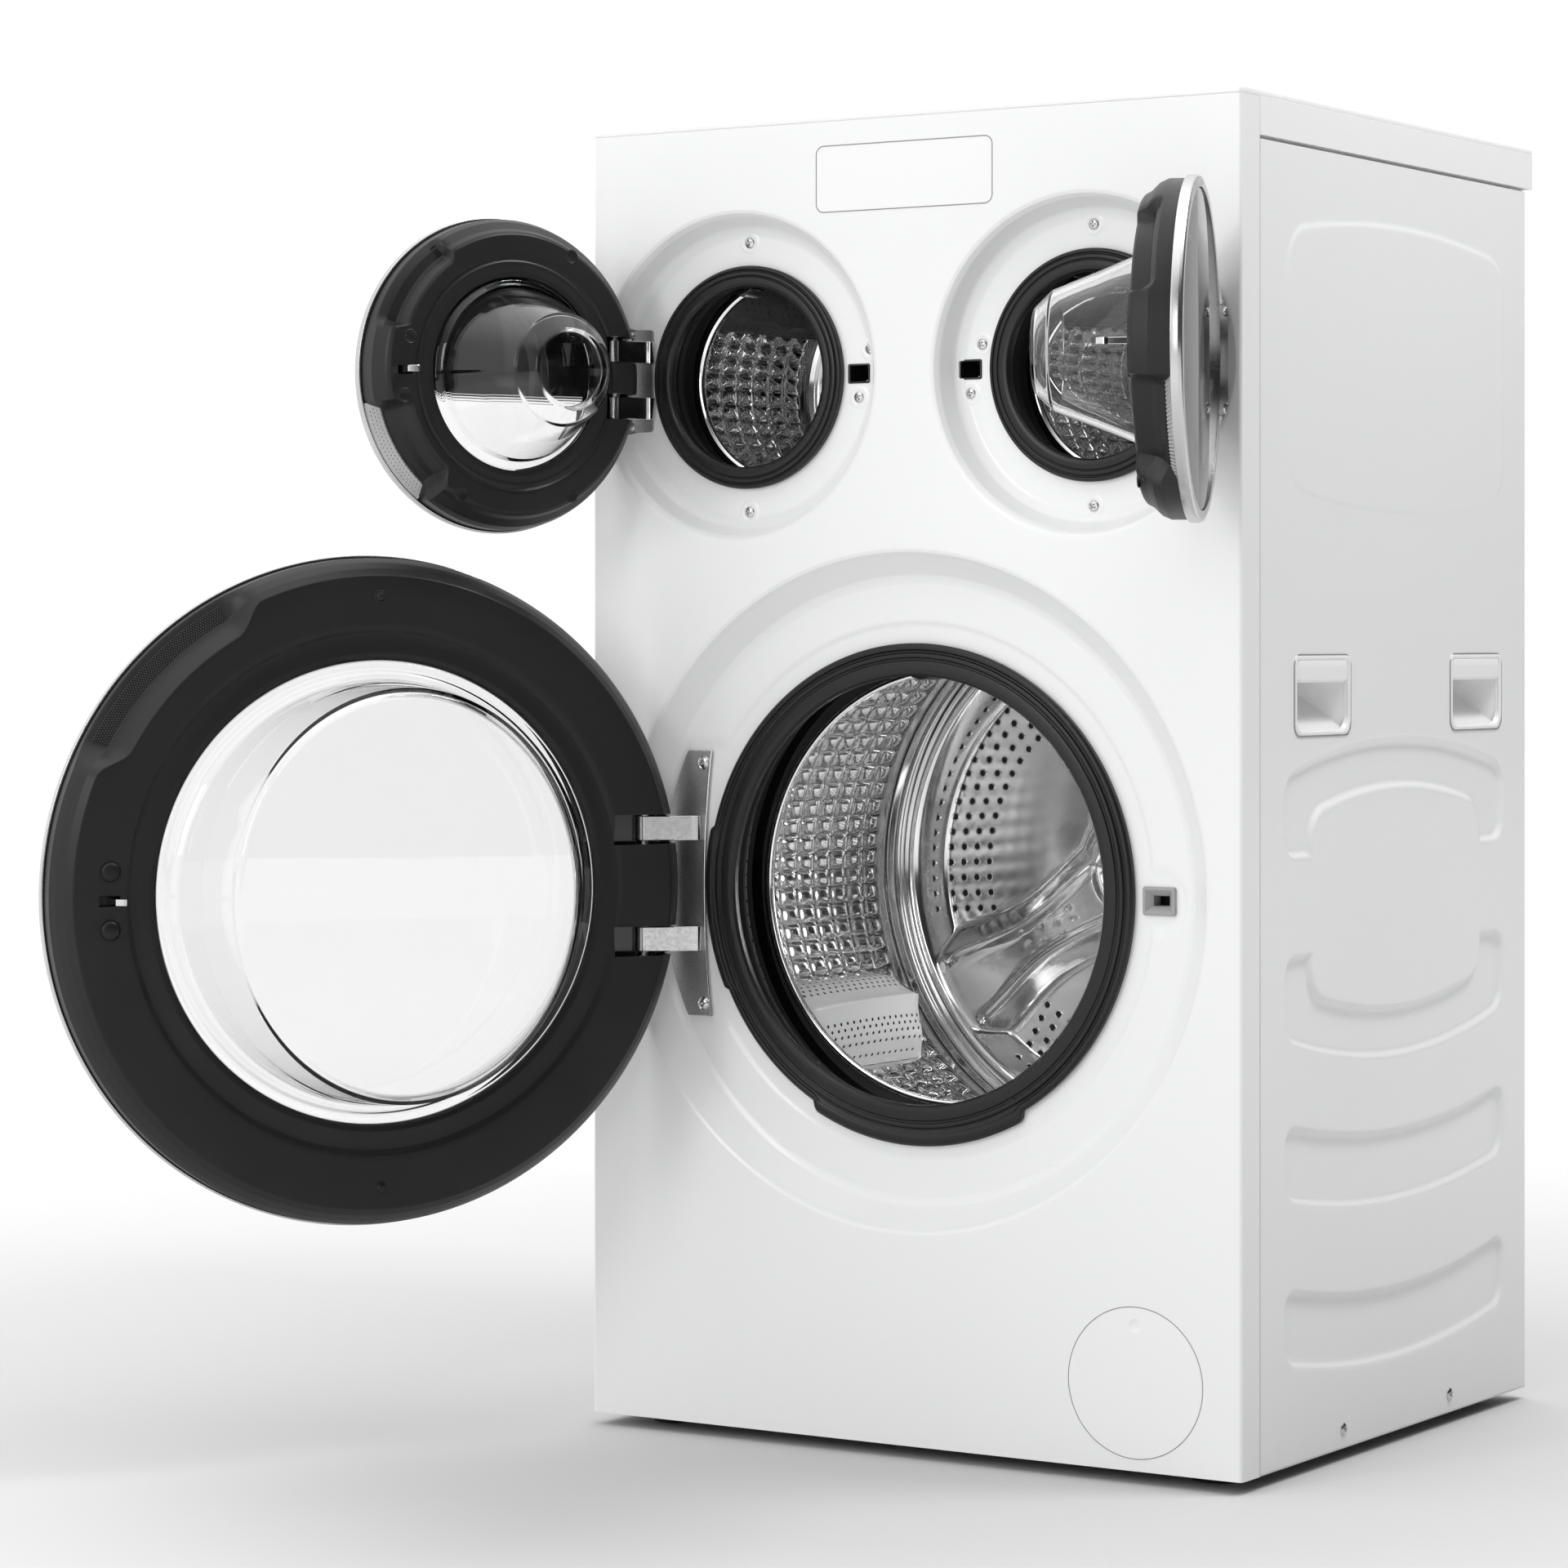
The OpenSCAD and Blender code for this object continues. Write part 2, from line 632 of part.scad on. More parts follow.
module lifter_bar(w0, w1, h)
    polygon(concat([[0, -w0 / 2]], arc(h - 9, 9 - w1 / 2, 9, 270, 360, 5),
        arc(h - 9, w1 / 2 - 9, 9, 0, 90, 5), [[0, w0 / 2]]));

module lifter(at, r, a, w0, w1, h, d0, d1)
    intersection() {
        translate([at[0], front_y, at[1]]) rotate([0, -a, 0]) translate([r, d0, 0])
            rotate([-90, 180, 0]) linear_extrude(d1 - d0) lifter_bar(w0, w1, h);
        rod(at, r - 0.2, d0 - 5, d1 + 5, 128);
    }

module large_drum_lifters()
    color([0.85, 0.86, 0.87]) for (k = [0 : 2])
        lifter(LARGE, large_drum_r - 1.5, lifter_angle + k * 120, 84, 34, 46, 115, 318);

module large_drum_spider()
    color(steel) {
        rod(LARGE, 15, 400, 470, 48);
        rod(LARGE, 30, 400, 411, 48);
        for (k = [0 : 2]) translate([0, front_y + 400, large_z]) rotate([0, -lifter_angle - k * 120, 0])
            translate([10, 0, -11]) cube([large_drum_r - 14, 10, 22]);
    }

module large_drum_pulley()
    color(steel) {
        ring(LARGE, pulley_r - 8, pulley_r, belt_d0, belt_d1);
        ring(LARGE, 15, 26, belt_d0, belt_d1);
        for (k = [0 : 5]) translate([0, front_y + belt_d0 + 3, large_z]) rotate([0, k * 60, 0])
            translate([25, 0, -6]) cube([pulley_r - 32, 6, 12]);
    }

// ---- small drums ----

module small_drum_shell(at)
    color(steel) turned(at, concat(arc(81, 74, 3, 90, 270, 6), [[86, 71.5], [101, 76]],
        arc(101, 86, 10, 270, 360, 6), [[small_drum_r, 308], [small_drum_r - 1.5, 308],
        [small_drum_r - 1.5, 87]], arc(101, 86, 8.5, 360, 270, 6), [[86, 73.5]]));

module small_drum_back(at)
    color(steel) {
        rod(at, small_drum_r - 1.7, 303, 305, 96);
        rod(at, 26, 295, 303, 48);
        rod(at, 24, 305, 314, 48);
        rod(at, 10, 305, 372, 48);
        turned(at, [[10, 366], [84, 366], [84, 338], [86, 338], [86, 370], [10, 370]]);
    }

module small_drum_lifters(at)
    color(grey) for (k = [0 : 2])
        lifter(at, small_drum_r - 1.5, 262 + k * 120, 46, 20, 24, 100, 270);

module left_drum_shell() small_drum_shell(LEFT);
module left_drum_back() small_drum_back(LEFT);
module left_drum_lifters() small_drum_lifters(LEFT);
module right_drum_shell() small_drum_shell(RIGHT);
module right_drum_back() small_drum_back(RIGHT);
module right_drum_lifters() small_drum_lifters(RIGHT);

// ---- doors, drawn shut and then swung open about their pivots ----

large_hook_x = 215.4;
small_hook_x = 105.4;
glass_d = 1 - door_out;

module door_rim(at, r)
    turned(at, [[r - 9, -door_out], [r - 3, -door_out], [r - 0.8, 0.9 - door_out], [r, 3 - door_out],
        [r, 9 - door_out], [r - 2.3, 9 - door_out], [r - 2.3, 5 - door_out], [r - 9, 5 - door_out]]);

// Hollow door frame: outer wall, sloping shoulder, inner face and the collar that holds the bowl.
function frame_profile(r, step, throat) = let (f = glass_d + glass_t + 0.3, g = door_in) [
    [r - 2.5, f], [r - 2.5, -5], [r - 6, -1], [step + 9, 3], [step + 4, g - 3], [step, g],
    [throat + 3, g], [throat, g - 2], [throat, g - 6], [throat + 6, g - 6], [throat + 6, g - 3],
    [step - 1, g - 3], [step + 1, g - 5], [step + 6, 0], [r - 8, -4], [r - 5.5, -6.5], [r - 5.5, f]];

module hinge_block(at, r, px, height, reach)
    intersection() {
        slab(at[0] - r, at[0] - px + reach - 4, glass_d + glass_t + 0.3, 6,
             at[1] - height / 2, at[1] + height / 2);
        union() {
            rod(at, r - 2.5, -30, -2, 96);
            rod(at, r - 8.5, -3, 30, 96);
        }
    }

// Block behind the inner face that carries the latch hook on an upright pin.
module hook_seat(at, x, z) {
    difference() {
        slab(at[0] + x - 5, at[0] + x + 6, 5, door_in - 2, at[1] + z - 8, at[1] + z + 8);
        hook_slot(at, x, z);
    }
    translate([at[0] + x, front_y + 10, at[1] + z - 5]) cylinder(r = 1.2, h = 10, $fn = 32);
}

module hook_slot(at, x, z)
    slab(at[0] + x - 3, at[0] + x + 6.5, 4, 20, at[1] + z - 3.2, at[1] + z + 3.2);

module door_frame(at, r, step, throat, px, pd, height, arm_z, slot_h, reach, pin, hook_x, hook_z) {
    difference() {
        union() {
            turned(at, frame_profile(r, step, throat));
            hinge_block(at, r, px, height, reach);
        }
        for (s = [-1, 1]) slab(at[0] - r - 5, at[0] - px + reach, pd - 6.2, 30,
            at[1] + s * arm_z - slot_h / 2, at[1] + s * arm_z + slot_h / 2);
        translate([at[0] - px, front_y + pd, at[1]])
            cylinder(r = pin + pin_run, h = height + 20, center = true, $fn = 40);
        hook_slot(at, hook_x, hook_z);
    }
    hook_seat(at, hook_x, hook_z);
}

module door_hook(at, x, z)
    translate([at[0] + x, front_y, at[1] + z - 2.5]) linear_extrude(5) difference() {
        polygon([[-2.4, 7], [2.4, 7], [2.4, 30], [5, 32], [5, 34], [0, 39], [-2.4, 39]]);
        translate([0, 10]) circle(r = 1.2 + pin_run, $fn = 32);
    }

module large_swing() swing(-large_pivot_x, large_pivot_d, -large_open) children();

module large_door_rim() color(grey) large_swing() door_rim(LARGE, large_door_r);

module large_door_glass()
    color(clear) large_swing() rod(LARGE, large_door_r - 9.3, glass_d, glass_d + glass_t, 128);

module large_door_frame()
    color(charcoal) large_swing()
        door_frame(LARGE, large_door_r, 234, 182, large_pivot_x, large_pivot_d, 136, 45, 24, 38,
                   large_pin_r, large_hook_x, -2);

module large_door_bowl()
    color(clear) large_swing() turned(LARGE, [[182, 9], [188, 9], [188, 6], [176, 5], [164, 14],
        [158, 42], [152, 64], [140, 72], [0, 74], [0, 78], [141, 76], [155, 68], [162, 44],
        [167, 18], [172, 13.5], [181.5, 13.2]]);

module large_door_hook() color(steel) large_swing() door_hook(LARGE, large_hook_x, -2);

module small_door_rim(at) door_rim(at, small_door_r);

module small_door_glass(at) rod(at, small_door_r - 9.3, glass_d, glass_d + glass_t, 96);

module small_door_frame(at)
    door_frame(at, small_door_r, 112, 84, small_pivot_x, small_pivot_d, 84, 23, 21, 24,
               small_pin_r, small_hook_x, 0);

module small_door_bowl(at)
    turned(at, [[84, 9], [90, 9], [90, 6], [80, 5], [68.5, 12], [63, 26], [56.5, 42], [46.5, 62],
        [37, 78], [0, 80], [0, 84], [38, 82], [50, 64], [60, 44], [66.5, 28], [70, 19], [74, 13.5],
        [83.5, 13.2]]);

module small_swing(side) {
    if (side < 0) swing(-small_x - small_pivot_x, small_pivot_d, -left_open) children();
    else swing(small_x + small_pivot_x, small_pivot_d, right_open) mirror([1, 0, 0]) children();
}

module left_door_rim() color(grey) small_swing(-1) small_door_rim(LEFT);
module left_door_glass() color(black) small_swing(-1) small_door_glass(LEFT);
module left_door_frame() color(charcoal) small_swing(-1) small_door_frame(LEFT);
module left_door_bowl() color(clear) small_swing(-1) small_door_bowl(LEFT);
module left_door_hook() color(steel) small_swing(-1) door_hook(LEFT, small_hook_x, 0);
module right_door_rim() color(grey) small_swing(1) small_door_rim(LEFT);
module right_door_glass() color(black) small_swing(1) small_door_glass(LEFT);
module right_door_frame() color(charcoal) small_swing(1) small_door_frame(LEFT);
module right_door_bowl() color(clear) small_swing(1) small_door_bowl(LEFT);
module right_door_hook() color(steel) small_swing(1) door_hook(LEFT, small_hook_x, 0);

base_pan();
levelling_feet();
left_side_panel();
right_side_panel();
side_grips();
front_panel();
panel_dishes();
rear_panel();
top_cover();
control_panel();
inlet_valves();
drain_spigot();
mains_inlet();
drain_pump();
filter_housing();
panel_screws();
filter_cover();
filter_plug();
large_seal();
large_tub_front();
large_tub_rear();
door_locks();
hinge_brackets();
hinge_pins();
tub_suspension();
counterweights();
drive_motor();
drive_belt();
drum_bearings();
tub_heater();
motor_pulley();
large_drum_shell();
large_drum_back();
large_drum_lifters();
large_drum_spider();
large_drum_pulley();
large_door_rim();
large_door_glass();
large_door_frame();
large_door_bowl();
large_door_hook();
small_seals();
small_tubs();
small_motors();
left_drum_shell();
left_drum_back();
left_drum_lifters();
right_drum_shell();
right_drum_back();
right_drum_lifters();
left_door_rim();
left_door_glass();
left_door_frame();
left_door_bowl();
left_door_hook();
right_door_rim();
right_door_glass();
right_door_frame();
right_door_bowl();
right_door_hook();
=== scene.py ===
"""Looks for the three-drum washer dryer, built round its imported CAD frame."""
import json
import math

import bmesh
import bpy
from mathutils import Matrix, Vector


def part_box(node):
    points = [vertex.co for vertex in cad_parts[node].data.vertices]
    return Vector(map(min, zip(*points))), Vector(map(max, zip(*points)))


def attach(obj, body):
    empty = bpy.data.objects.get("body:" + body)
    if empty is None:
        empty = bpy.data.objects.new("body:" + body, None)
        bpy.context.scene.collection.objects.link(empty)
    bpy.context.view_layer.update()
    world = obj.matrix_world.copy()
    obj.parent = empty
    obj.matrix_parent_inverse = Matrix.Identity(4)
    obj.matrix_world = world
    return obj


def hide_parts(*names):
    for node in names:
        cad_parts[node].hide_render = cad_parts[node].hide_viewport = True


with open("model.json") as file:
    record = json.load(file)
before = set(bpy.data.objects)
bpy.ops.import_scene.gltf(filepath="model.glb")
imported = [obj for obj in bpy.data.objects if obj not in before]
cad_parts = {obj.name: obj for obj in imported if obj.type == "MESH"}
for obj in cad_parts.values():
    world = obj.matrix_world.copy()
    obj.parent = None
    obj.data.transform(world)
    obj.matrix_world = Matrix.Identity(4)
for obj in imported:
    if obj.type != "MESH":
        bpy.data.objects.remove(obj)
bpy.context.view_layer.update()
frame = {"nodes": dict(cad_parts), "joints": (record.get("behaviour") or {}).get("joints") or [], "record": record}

# Local coordinates are millimetres: x sideways, d behind the front face, z above the floor.
# Centres of round things are (x, z), the doors' pivots (x, d).
MM = 0.001
TAU = 2 * math.pi
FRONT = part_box("front_panel")[0].y
LIMITS = {j["name"]: j for j in frame["joints"]}

CAB_HALF = 297.5
SIDE_X = 296.9
TOP = 1056.0
FLOOR_GAP = 10.0
LARGE = (0.0, 446.0)
SMALL_X, SMALL_Z = 158.5, 856.3
LEFT, RIGHT = (-SMALL_X, SMALL_Z), (SMALL_X, SMALL_Z)
DISH = 22.5
COVER = (206.5, 77.3)
LIFTER_ANGLE, SMALL_LIFTER_ANGLE = 213, 262
BRACKET_SCREW_X = -201.4
LARGE_ARM_Z, SMALL_ARM_Z = 45, 23
LARGE_LOCK_X, LARGE_LOCK_DROP = 216.4, 2
LOCK_X = {"left": -54.5, "right": 48.5}
LARGE_PIVOT, SMALL_PIVOT = (-237.4, -13.0), (-SMALL_X - 109.5, -11.0)


def ease(t):
    t = min(1.0, max(0.0, t))
    return t * t * (3 - 2 * t)


def mix(a, b, t):
    return a + (b - a) * t


# ---- materials ----

def look(name, light, dark, rough, metal=0.0, patch=9.0, grain=700.0, depth=0.00002,
         stretch=(1, 1, 1), **sockets):
    """Node material: two close tones, uneven roughness and a fine bump; sockets holds constants."""
    mat = bpy.data.materials.new(name)
    mat.use_nodes = True
    nodes, link = mat.node_tree.nodes, mat.node_tree.links.new
    shader = nodes["Principled BSDF"]
    shader.inputs["Metallic"].default_value = metal
    for socket, value in sockets.items():
        shader.inputs[socket.replace("_", " ")].default_value = value
    coord = nodes.new("ShaderNodeTexCoord")
    place = nodes.new("ShaderNodeMapping")
    place.inputs["Scale"].default_value = stretch
    link(coord.outputs["Object"], place.inputs["Vector"])
    broad = nodes.new("ShaderNodeTexNoise")
    broad.inputs["Scale"].default_value = patch
    broad.inputs["Detail"].default_value = 5
    link(place.outputs["Vector"], broad.inputs["Vector"])
    tone = nodes.new("ShaderNodeMix")
    tone.data_type = "RGBA"
    tone.inputs["A"].default_value = (*light, 1)
    tone.inputs["B"].default_value = (*dark, 1)
    link(broad.outputs["Fac"], tone.inputs["Factor"])
    link(tone.outputs["Result"], shader.inputs["Base Color"])
    gloss = nodes.new("ShaderNodeMapRange")
    gloss.inputs["From Min"].default_value = 0.3
    gloss.inputs["From Max"].default_value = 0.7
    gloss.inputs["To Min"].default_value = rough[0]
    gloss.inputs["To Max"].default_value = rough[1]
    link(broad.outputs["Fac"], gloss.inputs["Value"])
    link(gloss.outputs["Result"], shader.inputs["Roughness"])
    fine = nodes.new("ShaderNodeTexNoise")
    fine.inputs["Scale"].default_value = grain
    fine.inputs["Detail"].default_value = 3
    link(place.outputs["Vector"], fine.inputs["Vector"])
    bump = nodes.new("ShaderNodeBump")
    bump.inputs["Strength"].default_value = 0.7
    bump.inputs["Distance"].default_value = depth
    link(fine.outputs["Fac"], bump.inputs["Height"])
    link(bump.outputs["Normal"], shader.inputs["Normal"])
    return mat


def grey(v, tint=0.0):
    return (v, v + tint * 0.5, v + tint)


PAINT = look("white_paint", grey(0.86, 0.004), grey(0.83, 0.006), (0.3, 0.4), patch=3,
             grain=420, depth=0.00001, Coat_Weight=0.25, Coat_Roughness=0.12)
PLASTIC = look("white_plastic", grey(0.87), grey(0.84), (0.28, 0.38), patch=6, grain=900,
               depth=0.000008)
PANEL = look("control_surface", grey(0.88, 0.004), grey(0.86, 0.004), (0.12, 0.18), patch=4,
             grain=300, depth=0.000004, Coat_Weight=0.5, Coat_Roughness=0.05)
ZINC_SHEET = look("galvanised_sheet", grey(0.55), grey(0.42), (0.35, 0.55), 0.9, patch=60,
                  grain=500, depth=0.00002)
BLACK = look("black_plastic", grey(0.01), grey(0.007), (0.35, 0.5), grain=900, depth=0.00002,
             Specular_IOR_Level=0.3)
GLOSS_BLACK = look("gloss_black", grey(0.008), grey(0.006), (0.08, 0.14), grain=300,
                   depth=0.000004, Coat_Weight=0.4, Coat_Roughness=0.05)
# Near-black painted shade, set as discs and blocks in the drum's drain holes, the paddles' holes and the large
# lock's pocket.
PAINTED_HOLE_SHADE = look("painted_hole_shade", grey(0.004), grey(0.003), (0.6, 0.8), grain=900, depth=0.00001)
GREY = look("grey_plastic", grey(0.42), grey(0.37), (0.4, 0.5), grain=800, depth=0.00002)
LOCK_GREY = look("lock_plastic", grey(0.36), grey(0.32), (0.3, 0.4), grain=900, depth=0.00002)
ZINC = look("zinc_steel", grey(0.68), grey(0.55), (0.18, 0.32), 1.0, patch=220, grain=900,
            depth=0.00001)
FILTER_BLUE = look("filter_blue", (0.05, 0.09, 0.2), (0.04, 0.08, 0.17), (0.35, 0.5))
RUBBER = look("seal_rubber", grey(0.012), grey(0.009), (0.26, 0.38), patch=14, grain=1200,
              depth=0.00002, Specular_IOR_Level=0.32)
# The seal rubber made darker and rougher for the inside of the seals: painted shade in the tunnel.
SHADED_SEAL_RUBBER = look("seal_inside_painted_shade", grey(0.006), grey(0.004), (0.6, 0.75), grain=900, depth=0.00002)
TUB = look("tub_plastic", grey(0.3), grey(0.26), (0.5, 0.65), grain=500, depth=0.00005)
CAST = look("bracket_cast", grey(0.62), grey(0.22), (0.3, 0.5), 1.0, patch=900, grain=1800,
            depth=0.0003)
ARM = look("hinge_arm_metal", grey(0.72), grey(0.6), (0.12, 0.24), 1.0, patch=300, grain=1500,
           depth=0.00003)
WEIGHT = look("weight_iron", grey(0.2), grey(0.14), (0.7, 0.85), 0.3, patch=60, grain=300,
              depth=0.0003)
MOTOR = look("motor_case", grey(0.4), grey(0.34), (0.4, 0.55), 0.9, grain=500, depth=0.00006)
BELT = look("belt_rubber", grey(0.02), grey(0.015), (0.6, 0.75))
DRUM = look("drum_steel", grey(0.84), grey(0.76), (0.05, 0.12), 1.0, patch=26, grain=260,
            depth=0.00001)
POLISHED = look("drum_back_steel", grey(0.8), grey(0.72), (0.07, 0.15), 1.0, patch=10,
                grain=120, depth=0.00002)
LIFTER = look("lifter_plastic", grey(0.88), grey(0.82), (0.24, 0.34), grain=900, depth=0.00002)
DARK_LIFTER = look("small_lifter_plastic", grey(0.16), grey(0.12), (0.24, 0.34), grain=900,
                   depth=0.00002)
SILVER = look("silver_rim", grey(0.6), grey(0.52), (0.2, 0.3), 1.0, patch=30, grain=1200,
              depth=0.00001)
CHARCOAL = look("charcoal_plastic", grey(0.014), grey(0.011), (0.34, 0.44), patch=16,
                grain=2200, depth=0.00004, Specular_IOR_Level=0.3)
GRIP_DARK = look("grip_charcoal", grey(0.06), grey(0.045), (0.4, 0.55), patch=700, grain=1400,
                 depth=0.00006)
GRIP_GREY = look("grip_grey", grey(0.5), grey(0.44), (0.3, 0.4), 0.6, patch=20, grain=900,
                 depth=0.00002)
CHROME = look("chrome_metal", grey(0.72), grey(0.62), (0.06, 0.13), 1.0, patch=60, grain=300,
              depth=0.00001)
GLASS = look("clear_glass", grey(0.95), grey(0.93), (0.0, 0.012), patch=5, grain=90,
             depth=0.000004, Transmission_Weight=1.0, IOR=1.36)
SEAM = look("seam_shadow", grey(0.3), grey(0.25), (0.6, 0.8))


def printed_glass(name, centre, inside, half_dark):
    """Door glass printed black beyond radius inside; half_dark adds an upper half ending in dots."""
    mat = look(name, grey(0.94), grey(0.92), (0.0, 0.01), patch=5, grain=90, depth=0.000004,
               Transmission_Weight=1.0, IOR=1.47)
    nodes, link = mat.node_tree.nodes, mat.node_tree.links.new
    clear = nodes["Principled BSDF"]
    out = nodes["Material Output"]
    ink = nodes.new("ShaderNodeBsdfPrincipled")
    ink.inputs["Base Color"].default_value = (0.009, 0.009, 0.01, 1)
    ink.inputs["Roughness"].default_value = 0.015

    def maths(operation, a, b=None):
        node = nodes.new("ShaderNodeMath")
        node.operation = operation
        for i, value in enumerate((a, b)):
            if isinstance(value, (int, float)):
                node.inputs[i].default_value = value
            elif value is not None:
                link(value, node.inputs[i])
        return node.outputs[0]

    plane = nodes.new("ShaderNodeUVMap")
    plane.uv_map = "plane"
    split = nodes.new("ShaderNodeSeparateXYZ")
    link(plane.outputs["UV"], split.inputs[0])
    x = maths("SUBTRACT", split.outputs["X"], centre[0] * MM)
    z = maths("SUBTRACT", split.outputs["Y"], centre[1] * MM)
    radius = maths("SQRT", maths("ADD", maths("MULTIPLY", x, x), maths("MULTIPLY", z, z)))
    dark = maths("GREATER_THAN", radius, inside * MM)
    if half_dark:
        pitch = 0.0021
        cells = []
        for value in (x, z):
            cell = maths("FRACT", maths("DIVIDE", maths("ADD", value, 1.0), pitch))
            cells.append(maths("SUBTRACT", cell, 0.5))
        spot = maths("SQRT", maths("ADD", maths("MULTIPLY", cells[0], cells[0]),
                                   maths("MULTIPLY", cells[1], cells[1])))
        reach = maths("ADD", maths("MULTIPLY", z, 50.0), 1.2)
        dots = maths("MULTIPLY", maths("LESS_THAN", spot, reach), maths("GREATER_THAN", z, -0.022))
        dark = maths("MAXIMUM", dark, maths("MAXIMUM", dots, maths("GREATER_THAN", z, -0.014)))
    choose = nodes.new("ShaderNodeMixShader")
    link(dark, choose.inputs["Fac"])
    link(clear.outputs["BSDF"], choose.inputs[1])
    link(ink.outputs["BSDF"], choose.inputs[2])
    link(choose.outputs["Shader"], out.inputs["Surface"])
    return mat


LARGE_GLASS = printed_glass("large_door_print", LARGE, 186, False)
SMALL_GLASS = printed_glass("small_door_print", LEFT, 86, True)

SLOT_LOOKS = {
    "white_paint": PAINT, "white_plastic": PLASTIC, "control_surface": PANEL,
    "galvanised_sheet": ZINC_SHEET, "black_plastic": BLACK, "grey_plastic": GREY,
    "zinc_steel": ZINC, "filter_blue": FILTER_BLUE, "seal_rubber": RUBBER, "tub_plastic": TUB,
    "lock_plastic": LOCK_GREY, "bracket_metal": CAST, "weight_iron": WEIGHT,
    "motor_case": MOTOR, "belt_rubber": BELT, "drum_steel": DRUM, "lifter_plastic": LIFTER,
    "small_lifter_plastic": DARK_LIFTER, "silver_rim": SILVER, "clear_glass": GLASS,
    "tinted_glass": GLOSS_BLACK, "charcoal_plastic": CHARCOAL, "chrome_metal": CHROME,
}
for part in frame["record"]["subparts"]:
    node = frame["nodes"][part["node"]]
    node.data.materials.clear()
    node.data.materials.append(SLOT_LOOKS[part["material_slot"]])
    node.data.shade_smooth()
    node.data.set_sharp_from_angle(angle=math.radians(25))


# ---- shapes: each gives (points, faces) in local millimetres ----

def arc(cx, cy, r, a0, a1, n):
    return [(cx + r * math.cos(math.radians(mix(a0, a1, i / n))),
             cy + r * math.sin(math.radians(mix(a0, a1, i / n)))) for i in range(n + 1)]


def rounded_box(w, h, r, n=6, cx=0.0, cy=0.0):
    corners = ((1, 1, 0), (-1, 1, 90), (-1, -1, 180), (1, -1, 270))
    return [p for sx, sy, a in corners
            for p in arc(cx + sx * (w / 2 - r), cy + sy * (h / 2 - r), r, a, a + 90, n)]


def soften(points, radius, steps=4, loop=True):
    """Rounds a profile's corners; a point may carry its own radius as a third number."""
    out, count = [], len(points)
    for i, p in enumerate(points):
        r = p[2] if len(p) > 2 else radius
        here = Vector(p[:2])
        if r <= 0 or (not loop and i in (0, count - 1)):
            out.append(tuple(here))
            continue
        u = Vector(points[i - 1][:2]) - here
        v = Vector(points[(i + 1) % count][:2]) - here
        turn = u.angle(v, math.pi)
        cut = min(abs(r / math.tan(turn / 2)), 0.45 * u.length, 0.45 * v.length)
        a, b = here + u.normalized() * cut, here + v.normalized() * cut
        for k in range(steps + 1):
            t = k / steps
            out.append(tuple(a * (1 - t) ** 2 + here * 2 * t * (1 - t) + b * t * t))
    return out


def turned(centre, profile, steps=160, loop=True, also=()):
    """A profile of (radius, depth) swept round centre; it may be a function of the angle.

    also lists further angles, in degrees, for narrow details.
    """
    verts, faces = [], []
    angles = sorted({round(TAU * i / steps, 9) for i in range(steps)}
                    | {round(math.radians(a % 360), 9) for a in also})
    steps = len(angles)
    for a in angles:
        for r, d in (profile(a) if callable(profile) else profile):
            verts.append((centre[0] + r * math.cos(a), d, centre[1] + r * math.sin(a)))
    n = len(verts) // steps
    for i in range(steps):
        j = (i + 1) % steps
        for k in range(n if loop else n - 1):
            m = (k + 1) % n
            faces.append((i * n + k, i * n + m, j * n + m, j * n + k))
    return verts, faces


def sheet(us, vs, at, keep=None):
    """Grid of at(u, v); keep(u, v) says which cells stay."""
    nv = len(vs)
    verts = [at(u, v) for u in us for v in vs]
    faces = []
    for i in range(len(us) - 1):
        for j in range(nv - 1):
            if keep and not keep((us[i] + us[i + 1]) / 2, (vs[j] + vs[j + 1]) / 2):
                continue
            faces.append((i * nv + j, i * nv + j + 1, (i + 1) * nv + j + 1, (i + 1) * nv + j))
    return verts, faces


def prism(outline, low, high, upright=False):
    """Outline in x, z swept from depth low to high; upright sweeps an x, depth outline in height."""
    n = len(outline)
    verts = [(u, v, e) if upright else (u, e, v) for e in (low, high) for u, v in outline]
    faces = [tuple(range(n)), tuple(range(2 * n - 1, n - 1, -1))]
    faces += [(i, (i + 1) % n, n + (i + 1) % n, n + i) for i in range(n)]
    return verts, faces


def block(x0, x1, d0, d1, z0, z1):
    return prism([(x0, z0), (x1, z0), (x1, z1), (x0, z1)], d0, d1)


def lofted(loops, start=False, end=False):
    """Closed loops of equal length joined in order; start and end cap the first and the last."""
    n = len(loops[0])
    verts = [p for ring in loops for p in ring]
    faces = [(i * n + k, i * n + (k + 1) % n, (i + 1) * n + (k + 1) % n, (i + 1) * n + k)
             for i in range(len(loops) - 1) for k in range(n)]
    if start:
        faces.append(tuple(range(n)))
    if end:
        faces.append(tuple(range(len(verts) - n, len(verts))))
    return verts, faces


def tube(path, radius, sides=8, closed=True):
    """Round strip along a path of (x, d, z)."""
    points = [Vector(p) for p in path]
    n = len(points)
    verts, faces = [], []
    for i, p in enumerate(points):
        ahead = points[(i + 1) % n] if closed or i < n - 1 else p
        back = points[i - 1] if closed or i > 0 else p
        along = (ahead - back).normalized()
        side = along.cross(Vector((0, 1, 0)))
        if side.length < 0.1:
            side = along.cross(Vector((0, 0, 1)))
        side.normalize()
        up = side.cross(along)
        for k in range(sides):
            a = TAU * k / sides
            verts.append(tuple(p + (side * math.cos(a) + up * math.sin(a)) * radius))
    for i in range(n if closed else n - 1):
        j = (i + 1) % n
        for k in range(sides):
            m = (k + 1) % sides
            faces.append((i * sides + k, j * sides + k, j * sides + m, i * sides + m))
    if not closed:
        faces += [tuple(range(sides)), tuple(range((n - 1) * sides, n * sides))]
    return verts, faces


def merged(*shapes):
    verts, faces = [], []
    for v, f in shapes:
        base = len(verts)
        verts += v
        faces += [tuple(i + base for i in face) for face in f]
    return verts, faces


